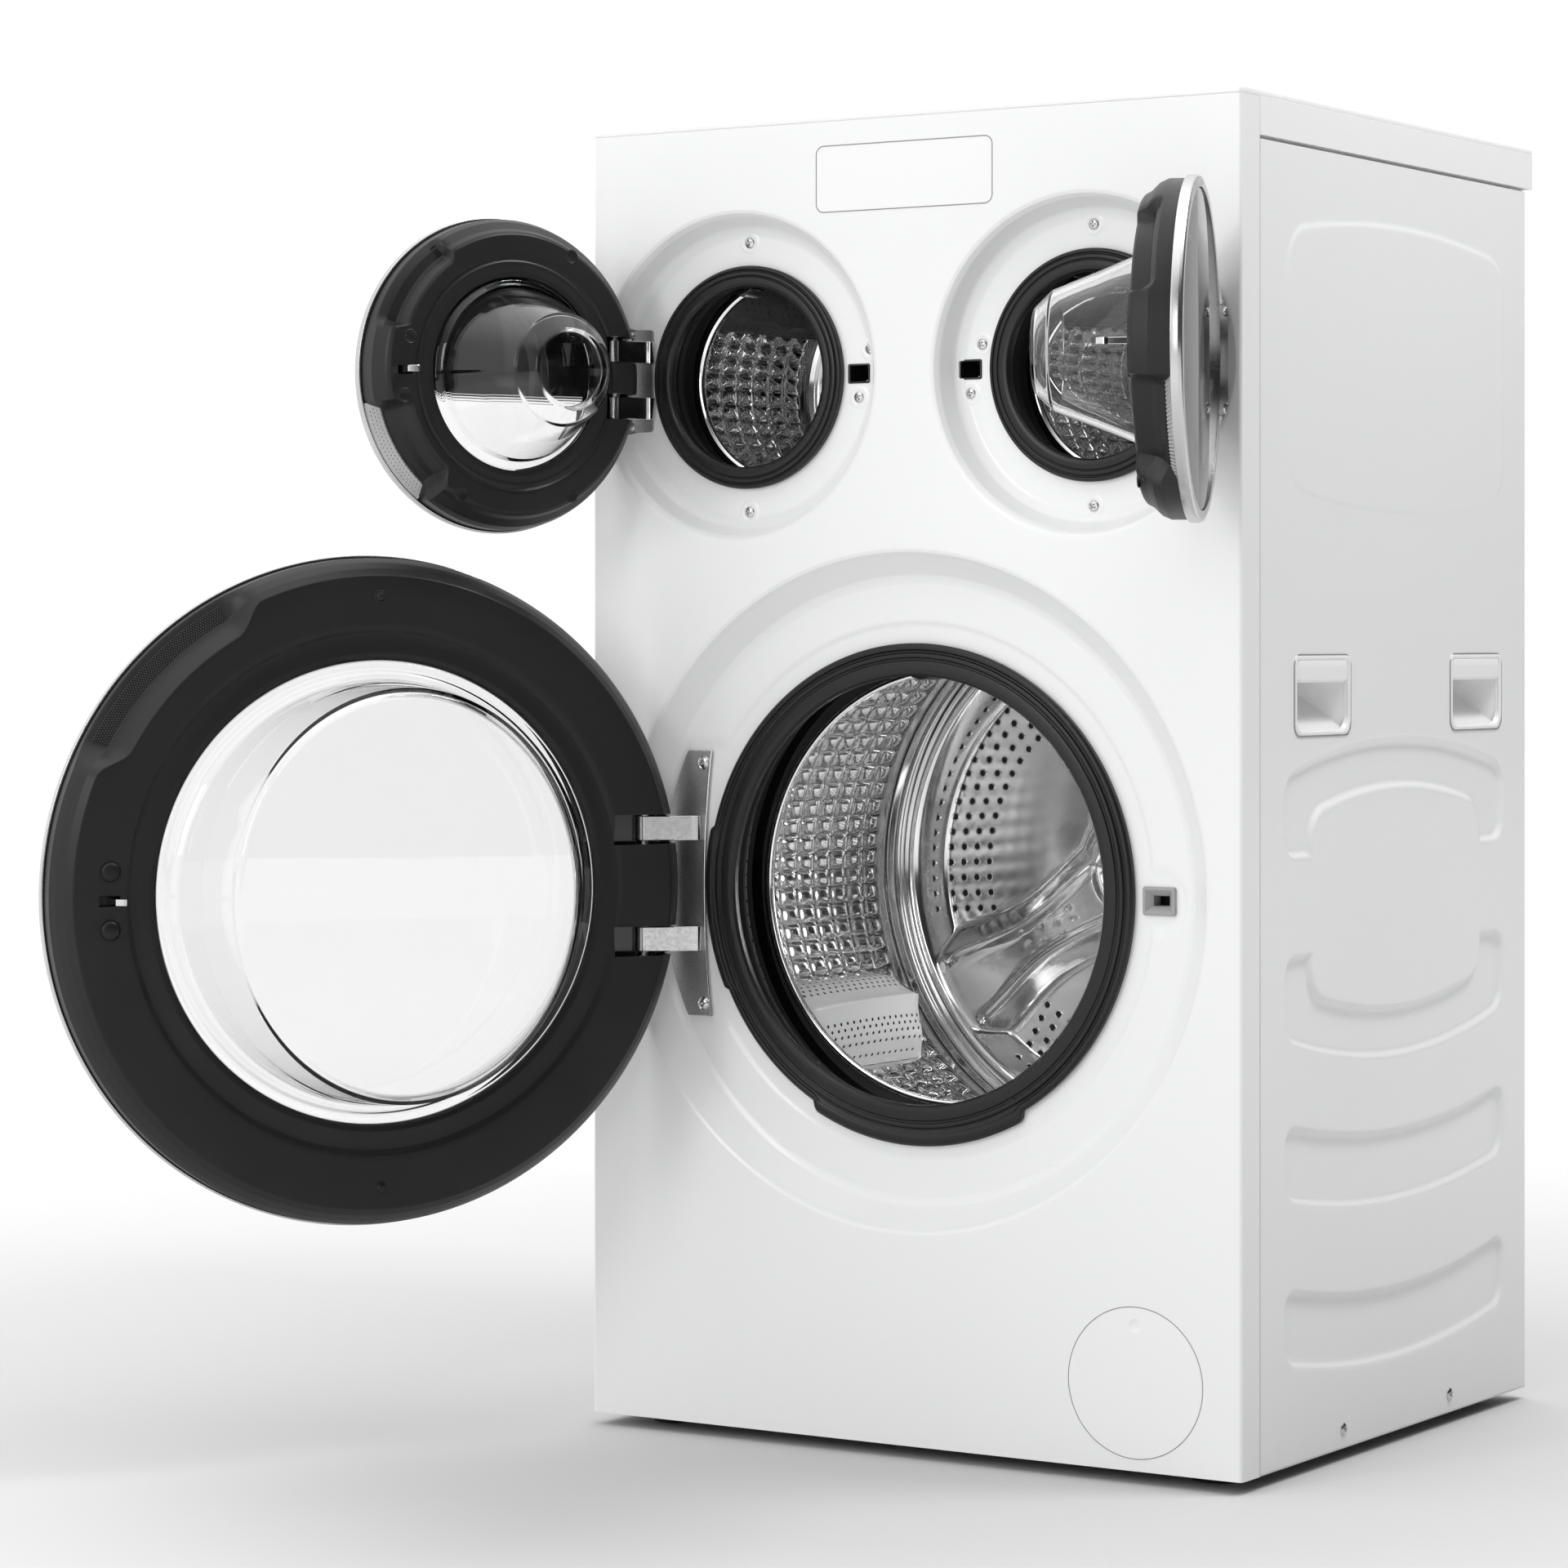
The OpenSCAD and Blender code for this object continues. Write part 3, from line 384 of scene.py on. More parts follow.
def around(place, facing, profile, sides=16):
    """A small turned part: profile of (radius, height) on a place, standing along facing."""
    facing = Vector(facing).normalized()
    side = facing.cross(Vector((0, 0, 1)))
    if side.length < 0.1:
        side = facing.cross(Vector((0, 1, 0)))
    side.normalize()
    up = facing.cross(side)
    verts, faces = [], []
    n = len(profile)
    for i in range(sides):
        a = TAU * i / sides
        for r, h in profile:
            verts.append(tuple(Vector(place) + side * (r * math.cos(a)) + up * (r * math.sin(a))
                               + facing * h))
    for i in range(sides):
        j = (i + 1) % sides
        for k in range(n - 1):
            faces.append((i * n + k, i * n + k + 1, j * n + k + 1, j * n + k))
    return verts, faces


def piece(name, shape, mat, body, stands_for=(), place=None, sharp=32, bevel=0.0,
          cuts=(), plane=False):
    """Makes one visible piece from a shape, riding on a body; place swings it, cuts are taken out.

    plane keeps each point's x and z before the swing, for a look that is drawn on them.
    """
    verts, faces = shape
    mesh = bpy.data.meshes.new(name)
    mesh.from_pydata([(x * MM, FRONT + d * MM, z * MM) for x, d, z in verts], [], faces)
    work = bmesh.new()
    work.from_mesh(mesh)
    bmesh.ops.remove_doubles(work, verts=work.verts, dist=1e-6)
    bmesh.ops.recalc_face_normals(work, faces=work.faces)
    if plane:
        layer = work.loops.layers.uv.new("plane")
        for face in work.faces:
            for loop in face.loops:
                loop[layer].uv = (loop.vert.co.x, loop.vert.co.z)
    work.to_mesh(mesh)
    work.free()
    obj = bpy.data.objects.new(name, mesh)
    bpy.context.scene.collection.objects.link(obj)
    mesh.materials.append(mat)
    if cuts:
        cut_away(obj, cuts)
    if place is not None:
        obj.data.transform(place)
        if place.determinant() < 0:
            obj.data.flip_normals()
    obj.data.shade_smooth()
    obj.data.set_sharp_from_angle(angle=math.radians(sharp))
    if bevel:
        edge = obj.modifiers.new("edge", "BEVEL")
        edge.width = bevel * MM
        edge.segments = 3
        edge.limit_method = "ANGLE"
        edge.angle_limit = math.radians(35)
        edge.harden_normals = False
    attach(obj, body)
    if stands_for:
        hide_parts(*stands_for)
    return obj


def cut_away(obj, cuts):
    """Removes each closed shape from obj's mesh."""
    for verts, faces in cuts:
        mesh = bpy.data.meshes.new("cutter")
        mesh.from_pydata([(x * MM, FRONT + d * MM, z * MM) for x, d, z in verts], [], faces)
        work = bmesh.new()
        work.from_mesh(mesh)
        bmesh.ops.recalc_face_normals(work, faces=work.faces)
        work.to_mesh(mesh)
        work.free()
        cutter = bpy.data.objects.new("cutter", mesh)
        bpy.context.scene.collection.objects.link(cutter)
        change = obj.modifiers.new("cut", "BOOLEAN")
        change.operation = "DIFFERENCE"
        change.solver = "EXACT"
        change.object = cutter
        bpy.context.view_layer.update()
        result = bpy.data.meshes.new_from_object(
            obj.evaluated_get(bpy.context.evaluated_depsgraph_get()))
        obj.modifiers.remove(change)
        obj.data = result
        bpy.data.objects.remove(cutter)


def span(a, b, n):
    return [mix(a, b, i / n) for i in range(n + 1)]


def polar(cx, cz, r, degrees):
    return cx + r * math.cos(math.radians(degrees)), cz + r * math.sin(math.radians(degrees))


# ---- cabinet ----

def corner_inside(across, along, r):
    """Distance inside a rounded corner, from the distances to its two edges."""
    if across < r and along < r:
        return r - math.hypot(r - across, r - along)
    return min(across, along)


def band_inside(d, z, d0, d1, low, high, r):
    """Distance inside a field between two curves, low and high at this depth, ends at d0 and d1."""
    return corner_inside(min(d - d0, d1 - d), min(high - z, z - low), r)


def pressing(d, z):
    """How far the side panel's surface stands out at a point."""
    bow = 1 - ((d - 279) / 206) ** 2
    up = ease(band_inside(d, z, 76, 484, 762 - 17 * bow, 960 + 16 * bow, 30) / 3.4) * 1.3
    down = 0.0
    for zz in (z, 2 * 438.5 - z):
        if zz > 438.5:
            outer = band_inside(d, zz, 72, 485, 475, 541 + 26 * bow, 20)
            inner = band_inside(d, zz, 122, 435, 380, 506 + 19 * (1 - ((d - 279) / 157) ** 2), 20)
            down = max(down, ease(min(outer, -inner) / 6.5))
    for drop in (0, 126):
        low, high = 213 - 19 * bow - drop, 274 - 21 * bow - drop
        down = max(down, ease(band_inside(d, z, 73, 485, low, high, 20) / 6.5))
    return up - 4.2 * down


GRIPS = ((90, 98), (377, 101))
GRIP_LOW, GRIP_HIGH = 570, 632


def side_panel(side):
    """Pressed side panel: folded in at the front and the rear, stepped in under the lid's skirt."""
    ds = [30.8, 30.8, 31.2, 32.2] + span(34, 526, 246) + [528, 529.4, 530, 530]
    zs = span(FLOOR_GAP, 1022, 506) + [1024, 1025.4, 1026.4, 1027.4, 1040, 1052]
    fold = (1.4, 0.4, 0.05)
    tucks = (14, *fold) + (0,) * (len(ds) - 8) + (*fold[::-1], 20)

    def at(i, z):
        step = 5.4 * ease((z - 1024) / 2.4)
        x = SIDE_X - max(tucks[i], step) + pressing(ds[i], z)
        return side * x, ds[i], z

    def keep(i, z):
        d = ds[int(i)]
        if z > 1026.4 and (i < 3 or i > len(ds) - 5):
            return False
        return not any(d > g + 3 and d < g + w - 5 and GRIP_LOW + 3 < z < GRIP_HIGH - 3
                       for g, w in GRIPS)

    name = "right" if side > 0 else "left"
    obj = piece(f"{name}_side_skin", sheet(range(len(ds)), zs, at, keep), PAINT, "cabinet",
                (f"{name}_side_panel",), sharp=50)
    thick = obj.modifiers.new("thickness", "SOLIDIFY")
    thick.thickness = 0.9 * MM
    thick.offset = -1


def side_grip(side, g, w, name):
    """Pull cup: rounded lip over a pocket whose back and rear wall slope."""
    d0, d1, z0, z1 = g, g + w, GRIP_LOW, GRIP_HIGH
    lip = z1 - 21

    def outline(grow, low_r=11, high_r=4):
        a, b = d0 - grow, d1 + grow
        lo, hi = z0 - grow, z1 + grow
        return (arc(b - high_r, hi - high_r, high_r, 0, 90, 5)
                + arc(a + high_r, hi - high_r, high_r, 90, 180, 5)
                + arc(a + low_r, lo + low_r, low_r, 180, 270, 7)
                + arc(b - low_r, lo + low_r, low_r, 270, 360, 7))

    rows = soften([(0.0, -0.8, 0), (0.0, 0.5), (1.1, 1.1), (2.4, 1.1), (3.6, 0.2), (4.6, -3, 0)], 0.5,
                  loop=False)
    rim = lofted([[(side * (SIDE_X + h), d, z) for d, z in outline(-inset)] for inset, h in rows])

    def pocket(d, z):
        inward = min(37.0, 5 + 1.15 * (z - (z0 + 5)), 3 + 1.9 * (d1 - 4.4 - d),
                     3 + 14 * (d - (d0 + 4.4)))
        return side * (SIDE_X - max(3.0, inward)), d, z

    walls = sheet(span(d0 + 4.3, d1 - 4.3, 44), span(z0 + 4.3, z1 - 6, 34), pocket)
    section = soften([(-34, lip + 6, 0), (-34, lip + 0.2), (-1.5, lip), (1.4, lip + 2), (1.7, z1 - 9),
                      (0.8, z1 - 3.5), (-8, z1 - 3, 0)], 1.6, loop=False)
    ends = (3.2, 3.6, 5.0, 8)
    ds = [d0 + e for e in ends] + span(d0 + 12, d1 - 12, 4) + [d1 - e for e in ends[::-1]]

    def bar(d, spot):
        x, z = spot
        tuck = 2.6 * (1 - ease((min(d - d0, d1 - d) - 3.2) / 4.8))
        return side * (SIDE_X + (x - tuck if x > -8 else x)), d, z

    piece(name, merged(rim, walls, sheet(ds, section, bar)), PLASTIC, "cabinet",
          ("side_grips",) if name == "right_grip_front" else (), sharp=28)


for side, word in ((1, "right"), (-1, "left")):
    side_panel(side)
    for (g, w), spot in zip(GRIPS, ("front", "rear")):
        side_grip(side, g, w, f"{word}_grip_{spot}")


def lid():
    """Lid with soft edges, side skirts and a rear skirt."""
    depth, skirt = 545, 1027

    def ringed(inset, z):
        return [(x, d, z) for x, d in rounded_box(2 * (CAB_HALF - inset), depth - 2 * inset,
                                                  3.2 - inset * 0.5, 5, 0, depth / 2)]

    steps = ((0.8, 0.0), (0.1, 0.6), (0.0, 1.2), (0.0, 4.2), (0.4, 5.2), (1.2, 5.85), (2.4, 6.0),
             (7, 6.0))
    parts = [lofted([ringed(inset, TOP + z) for inset, z in steps], True, True)]
    for s in (-1, 1):
        x0, x1 = sorted((s * (CAB_HALF - 2.5), s * CAB_HALF))
        parts.append(block(x0, x1, 30.8, depth - 1, skirt, TOP + 0.5))
    parts.append(block(-CAB_HALF + 1, CAB_HALF - 1, depth - 2.5, depth, skirt, TOP + 0.5))
    piece("lid", merged(*parts), PLASTIC, "cabinet", ("top_cover",), bevel=0.7)


lid()


# ---- dishes, screws, locks ----

def dish_wall(r, slope):
    """Profile from the front face, over the edge at r, down a slope this wide to the dish's floor."""
    foot = r - slope
    rows = [(r + 5, -0.02, 0), (r + 2, 0.0, 2), (r - 0.8, 0.9, 3), (r - 4, 4.5, 6),
            (foot + 1, DISH - 4.5, 7), (foot - 6, DISH, 5)]
    return soften(rows, 2, steps=5, loop=False)


def large_dish():
    """The large dish: its floor has a lower field round the seal and the hinge."""
    wall = dish_wall(268, 19)
    floor = [r for r in span(242, 196, 30)] + [190, 186.5]

    def level(r, a):
        x, z = r * math.cos(a), r * math.sin(a)
        hinge = ease((117 - abs(z)) / 5) * ease((-x - 120) / 30)
        seal = ease((214 - r) / 5)
        raised = 1 - max(hinge, seal)
        pad = ease((math.hypot(x - LARGE_LOCK_X, z + LARGE_LOCK_DROP) - 22) / 3)
        return DISH - 1.5 * raised * pad

    def profile(a):
        rows = [(r, d if r > 246 else min(d, level(min(r, 242), a))) for r, d in wall]
        rows += [(r, level(r, a)) for r in floor]
        rows += [(186.0, DISH + 0.6), (186.0, DISH + 1.2), (240, DISH + 1.2), (250, DISH - 3),
                 (266, 3.2), (270, 1.2), (273, 1.2)]
        return rows

    hole = prism(rounded_box(24, 18, 2, 3, LARGE_LOCK_X, LARGE[1] - LARGE_LOCK_DROP), 15, 30)
    piece("large_dish", turned(LARGE, profile, 288), PAINT, "cabinet", ("panel_dishes",),
          sharp=60, cuts=(hole,))


def small_dish(name, at):
    """A small dish, with the square pocket that its door's hinge side swings into."""
    wall = dish_wall(132, 11)
    out = math.copysign(1, at[0])

    def pocket(a):
        across = out * math.cos(a)
        return ease((43.6 - abs(127 * math.sin(a))) / 1.6) if across > 0 else 0.0

    def profile(a):
        w = pocket(a)
        cosine = max(0.5, abs(math.cos(a)))
        rows = []
        for k, (r, d) in enumerate(wall):
            t = k / (len(wall) - 1)
            deep = mix(0.6, DISH, ease((t - 0.3) / 0.35))
            far = 126.2 / cosine - (ease((t - 0.62) / 0.15) + 4 * max(0, t - 0.8))
            if r < 131.4:
                r, d = mix(r, min(131.4, far), w), mix(d, deep, w)
            rows.append((r, d))
        rows += [(r, DISH) for r in (112, 106, 100, 94, 90, 86, 84.4)]
        rows += [(84, DISH + 0.5), (84, DISH + 1.2), (115, DISH + 1.2), (133, DISH + 1.2), (133.5, 2.0),
                 (137, 1.2)]
        return rows

    hole = prism(rounded_box(18.6, 14, 1.2, 3, LOCK_X[name], SMALL_Z), 15, 30)
    piece(f"{name}_dish", turned(at, profile, 240), PAINT, "cabinet", (), sharp=50,
          cuts=(hole,))


large_dish()
small_dish("left", LEFT)
small_dish("right", RIGHT)


def screw_head(place, facing, r, turn):
    """Pan head of radius r with a cross recess, turned by turn radians."""
    facing = Vector(facing).normalized()
    side = facing.cross(Vector((0, 0, 1))).normalized()
    up = facing.cross(side)
    shares = [0.0, 0.12, 0.22, 0.32, 0.42, 0.5, 0.56, 0.66, 0.78, 0.9, 0.97, 1.0, 1.0]

    def point(ring, a):
        share = shares[ring]
        x, y = share * math.cos(a), share * math.sin(a)
        height = 0.52 * math.sqrt(max(0.0, 1.08 - share * share)) * r * 0.8
        if ring == len(shares) - 1:
            height = 0
        tx, ty = x * math.cos(turn) - y * math.sin(turn), x * math.sin(turn) + y * math.cos(turn)
        if min(abs(tx), abs(ty)) < 0.13 and share < 0.53:
            height -= 0.5 * r * (1 - share)
        return tuple(Vector(place) + side * (x * r) + up * (y * r) + facing * height)

    return lofted([[point(ring, TAU * i / 48) for i in range(48)] for ring in range(len(shares))])


def screws():
    """Screws of the dishes, locks, hinge brackets and side panels; the first ten stand on bosses."""
    spots = [(u * SMALL_X, DISH, SMALL_Z + s * 109) for u in (-1, 1) for s in (-1, 1)]
    spots += [(x, DISH - 1.5, LARGE[1] - 216) for x in (-125, 125)]
    for x in LOCK_X.values():
        spots += [(x, DISH, SMALL_Z - 18.8), (x + 10.5, DISH, SMALL_Z + 19.5)]
    bosses = len(spots)
    spots += [(BRACKET_SCREW_X, DISH - 3, LARGE[1] + s * 98) for s in (-1, 1)]
    spots += [(u * (SMALL_X + 116.5), DISH - 1.5, SMALL_Z + s * 36.8)
              for u in (-1, 1) for s in (-1, 1)]
    heads = [screw_head(p, (0, -1, 0), 4.4, 0.4 + 0.9 * i) for i, p in enumerate(spots)]
    for s in (-1, 1):
        for i, d in enumerate((176, 375)):
            heads.append(screw_head((s * SIDE_X, d, 25), (s, 0, 0), 5.2, 0.3 + i))
    piece("screws", merged(*heads), ZINC, "cabinet", ("panel_screws",), sharp=30)
    soft = [around(p, (0, -1, 0), [(9.5, 0.0), (7.6, 0.5), (6.4, 0.5), (5.4, 0.0), (4.6, -0.2)], 32)
            for p in spots[:bosses]]
    piece("screw_bosses", merged(*soft), PAINT, "cabinet", (), sharp=60)


screws()


def locks():
    """Latch openings: a sloped grey bezel for the large door and black frames for the small ones."""
    def funnel(cx, cz, w, h, r, rows, closed):
        loops = [[(x, d, z) for x, z in rounded_box(w - 2 * inset, h - 2 * inset,
                                                    max(0.3, r - inset * 0.5), 4, cx, cz)]
                 for inset, d in rows]
        return lofted(loops, end=closed)

    bezel = funnel(LARGE_LOCK_X, LARGE[1] - LARGE_LOCK_DROP, 28, 22, 2,
                   [(0, DISH + 0.5), (0, 20), (0.6, 19.5), (2.2, 19.4), (3.0, 20.0), (7.0, 25.0),
                    (7.2, 36)], False)
    piece("large_lock_bezel", bezel, LOCK_GREY, "cabinet", ("door_locks",), sharp=25)
    # The pocket's near-black blocks are painted shade behind the bezel.
    pocket = merged(block(208.4, 224.4, 41, 43, 438, 450), block(213, 224, 27, 29, 447.4, 450))
    piece("large_lock_pocket", pocket, PAINTED_HOLE_SHADE, "cabinet", ())
    for name, x in LOCK_X.items():
        frame_shape = funnel(x, SMALL_Z, 19.6, 15, 1.5,
                             [(-0.4, DISH + 0.3), (-0.4, DISH - 0.5), (0.1, DISH - 0.8),
                              (0.9, DISH - 0.7), (1.4, DISH), (1.5, DISH + 26)], True)
        piece(f"{name}_lock_frame", frame_shape, GLOSS_BLACK, "cabinet", (), sharp=25)
        catch = [(x, SMALL_Z - 6.8), (x + 7.8, SMALL_Z - 6.8), (x + 7.8, SMALL_Z - 3.0)]
        piece(f"{name}_lock_catch", prism(catch, DISH + 6, DISH + 8), LOCK_GREY, "cabinet", (),
              bevel=0.3)


locks()


# ---- seals ----

def large_seal():
    rows = [(195, DISH, 0), (195.5, 17.6), (193.5, 15.9), (190.6, 15.6), (189.6, 17.6), (188.2, 17.6),
            (187.2, 15.6), (184.4, 15.4), (183.6, 16.8), (182.2, 16.8), (181.4, 15.4), (175, 15.0),
            (171.4, 15.4), (169.5, 17.4), (169.5, 22), (171.2, 25.2), (175.5, 26.6, 1)]
    face = soften(rows, 1.0, steps=3, loop=False)

    def profile(a):
        degrees = math.degrees(a) % 360
        below = ease((degrees - 241) / 1.6) * ease((300 - degrees) / 1.6)
        left = ease((degrees - 166) / 1.2) * ease((206 - degrees) / 1.2)
        lug = 6.5 * below + 3.0 * left
        out = []
        for r, d in face:
            push = lug * ease((r - 188) / 5)
            out.append((r + push, d + 0.6 * below * ease((r - 190) / 4)))
        return out

    piece("large_seal_lip", turned(LARGE, profile, 360, loop=False), RUBBER, "cabinet",
          ("large_seal",), sharp=40)
    inner = soften([(175.5, 26.6, 0), (183, 30), (183, 40), (178, 43), (178, 47), (187, 50), (189.5, 58),
                    (190, 63), (190, 74, 0)], 2.0, steps=4, loop=False)
    piece("large_seal_tunnel", turned(LARGE, inner, 180, loop=False), SHADED_SEAL_RUBBER, "cabinet", (),
          sharp=40)


def small_seal(at, name, first):
    face = soften([(90, DISH, 0), (90.3, 17.8), (89.2, 16.2), (87.4, 15.8), (86.8, 17.4), (85.8, 17.4),
                   (85.2, 15.6), (82.6, 15.2), (82.0, 16.6), (81.2, 16.6), (80.6, 15.2), (76.6, 15.0),
                   (74, 15.4), (72.5, 17.4), (72.5, 22.5), (74.2, 25.6), (77, 26.8, 1)], 0.8, steps=3,
                  loop=False)
    piece(f"{name}_seal_lip", turned(at, face, 200, loop=False), RUBBER, "cabinet",
          ("small_seals",) if first else (), sharp=40)
    inner = soften([(77, 26.8, 0), (80.5, 30), (80.5, 38), (78, 41), (78, 44), (83, 47), (84.4, 54),
                    (84.4, 66, 0)], 1.6, steps=4, loop=False)
    piece(f"{name}_seal_tunnel", turned(at, inner, 120, loop=False), SHADED_SEAL_RUBBER, "cabinet", (),
          sharp=40)
    x, z = at
    hang = soften([(x - 26, z + 84), (x - 24, z + 70), (x - 12, z + 66), (x - 4, z + 72),
                   (x - 3, z + 84)], 2)
    piece(f"{name}_spray_nozzle", prism(hang, 30, 52), GLOSS_BLACK, "cabinet", (),
          bevel=0.8)


large_seal()
small_seal(LEFT, "left", True)
small_seal(RIGHT, "right", False)
nozzle = soften([(-40, 192), (-34, 178), (-16, 168), (-8, 166), (0, 168), (24, 178), (30, 192)], 3)
piece("large_spray_nozzle", prism([(x, LARGE[1] + z) for x, z in nozzle], 40, 68), BLACK, "cabinet", (),
      bevel=1.0)


# ---- drums ----

def drum_shell(at, name, mouth_r, shell_r, d_front, d_side, d_back, cells, steps_per_cell, pillow,
               columns, field, rings, sharp):
    """Drum shell: rolled mouth, sloping front, patterned side and polished rings before the back.

    The side's field, between two depths, holds columns of cells; pillow(u, v) is a cell's lift.
    """
    inside = shell_r - 1.5
    f0, f1 = field
    width = (f1 - f0) / columns
    depths = [f0 + width * (c + k / 8) for c in range(columns) for k in range(8)] + [f1]
    front = soften([(mouth_r + 3, d_front - 3.9), (mouth_r + 0.8, d_front - 2.9), (mouth_r, d_front),
                    (mouth_r + 1.2, d_front + 3.4), (mouth_r + 4, d_front + 4.2),
                    (mouth_r + 9, d_front + 2.2), (inside - 20, d_side - 11.5),
                    (inside - 11, d_side - 10), (inside - 5, d_side - 6.5),
                    (inside - 1.5, d_side - 2), (inside, d_side + 3)], 1.2, steps=2, loop=False)
    back = rings + [(inside, d_back), (shell_r, d_back), (shell_r, d_side),
                    (shell_r - 3.5, d_side - 8.5), (shell_r - 12, d_side - 12),
                    (mouth_r + 10, d_front + 0.6), (mouth_r + 6, d_front - 2.2)]

    def profile(a):
        v = (a / TAU * cells) % 1.0
        rows = list(front)
        for d in depths:
            at_end = d >= f1 - 1e-6 or d <= f0 + 1e-6
            lift = 0.0 if at_end else pillow(((d - f0) / width) % 1.0, v)
            rows.append((inside - lift, d))
        return rows + back

    piece(f"{name}_skin", turned(at, profile, cells * steps_per_cell), DRUM, name, (f"{name}_shell",),
          sharp=sharp)


def soft_pillow(u, v):
    return 2.4 * ((1 - abs(2 * u - 1) ** 2.6) * (1 - abs(2 * v - 1) ** 2.6)) ** 0.6


def quilt(u, v):
    edge = 1 - max(abs(2 * u - 1), abs(2 * v - 1))
    return 3.4 * edge ** 0.85


drum_shell(LARGE, "large_drum", mouth_r=170, shell_r=240.5, d_front=76, d_side=92, d_back=402,
           cells=100, steps_per_cell=8, pillow=soft_pillow, columns=9, field=(112, 350), sharp=55,
           rings=[(239, 353), (237, 356), (237, 362), (238.6, 364), (238.6, 369), (235.5, 372),
                  (235, 379), (236.5, 381), (236.5, 386), (234.5, 389), (234.5, 398)])
for name, at in (("left", LEFT), ("right", RIGHT)):
    drum_shell(at, f"{name}_drum", mouth_r=78, shell_r=111, d_front=74, d_side=86, d_back=308,
               cells=56, steps_per_cell=6, pillow=quilt, columns=7, field=(96, 268), sharp=40,
               rings=[(109.5, 271), (107, 273), (107, 277), (109, 279), (109, 284), (105.5, 286),
                      (105.5, 292), (108, 294), (108, 300)])


def star_level(x, z):
    """Depth of the large drum's back, and how far inside a pan: arms, hub and rim round three pans."""
    r = math.hypot(x, z)
    arm_gap = 1e9
    crease = 0.0
    for k in range(3):
        a = math.radians(LIFTER_ANGLE + 120 * k)
        along = x * math.cos(a) + z * math.sin(a)
        across = abs(-x * math.sin(a) + z * math.cos(a))
        if along > 0:
            half = 34 - 12 * ease(along / 110) + 14 * ease((along - 110) / 95)
            arm_gap = min(arm_gap, across - half)
            crest = math.exp(-((across - half + 5) / 5.5) ** 2) * ease(along / 50)
            groove = 3.5 * math.exp(-(across / 9) ** 2) * ease((150 - along) / 60)
            crease = max(crease, 4.5 * crest - groove)
    inside = min(arm_gap, 211 - r, r - 44)
    pan = ease((inside + 4) / 24)
    ridge = 4.5 * math.exp(-((r - 219) / 5.5) ** 2)
    ring = 9 * ease((r - 223) / 7)
    depth = 381 + 17 * pan - ridge + ring - crease * (1 - ease((r - 190) / 18))
    return depth + 5 * math.exp(-(r / 30.0) ** 2) - 2.5 * math.exp(-((r - 34) / 5.0) ** 2), inside


def large_back():
    """The large drum's back: star with dents along each arm, and drain holes in its three pans."""
    def point(r, a):
        x, z = r * math.cos(a), r * math.sin(a)
        d = star_level(x, z)[0]
        for k in range(3):
            b = math.radians(LIFTER_ANGLE + 120 * k)
            along = x * math.cos(b) + z * math.sin(b)
            across = -x * math.sin(b) + z * math.cos(b)
            if 66 < along < 128 and abs(across) < 15:
                du = (along - 72) / 17.0
                row = round(du)
                dv = (across - (0 if row % 2 else 5.5)) / 11.0
                near = math.hypot((du - row) * 17, (dv - round(dv)) * 11)
                d += 0.8 * (1 - ease(near / 3.6))
        return x, d, LARGE[1] + z

    star = lofted([[point(r, TAU * i / 432) for i in range(432)] for r in [0.0] + span(3, 236.5, 112)])
    piece("large_drum_star", star, POLISHED, "large_drum", ("large_drum_back",), sharp=180)
    rims, holes = [], []
    for k in range(3):
        middle = LIFTER_ANGLE + 60 + 120 * k
        for row, r in enumerate((152, 165, 178, 191, 204)):
            pitch = 13.6 / r * 180 / math.pi
            count = int(90 / pitch)
            for i in range(-count // 2, count // 2 + 1):
                a = middle + (i + (0.5 if row % 2 else 0)) * pitch
                x, z = polar(0, 0, r, a)
                level, inside = star_level(x, z)
                if inside < 6 or abs(a - middle) > 42:
                    continue
                spot = (x, level - 0.2, LARGE[1] + z)
                rims.append(around(spot, (0, -1, 0), [(4.1, -0.5), (3.7, 0.55), (3.2, 0.8), (2.7, 0.5),
                                                      (2.6, -0.3)], 20))
                # Each hole is a near-black disc under its rim: painted shade in the hole.
                holes.append(around(spot, (0, -1, 0), [(2.75, 0.12), (0, 0.1)], 20))
    piece("large_drum_hole_rims", merged(*rims), CHROME, "large_drum", (), sharp=60)
    piece("large_drum_holes", merged(*holes), PAINTED_HOLE_SHADE, "large_drum", ())


large_back()


def small_back(at, name):
    rows = [(0, 297), (8, 297), (12, 294.5), (22, 294.5), (27, 299), (31, 301.5), (44, 301.5),
            (48, 297.5), (53, 296.5), (58, 299.5), (62, 302), (76, 302), (80, 298), (86, 296.5), (91, 299),
            (95, 302.4), (101, 302.4), (108, 302.8)]
    smooth = soften(rows, 4, steps=4, loop=False)

    def profile(a):
        return [(r, d - (2.2 * ease((math.cos(3 * (a - math.radians(SMALL_LIFTER_ANGLE))) - 0.1) / 0.6)
                         * ease((r - 27) / 12) * ease((96 - r) / 10))) for r, d in smooth]

    piece(f"{name}_drum_disc", turned(at, profile, 216, loop=False), POLISHED, f"{name}_drum",
          (), sharp=180)


small_back(LEFT, "left")
small_back(RIGHT, "right")


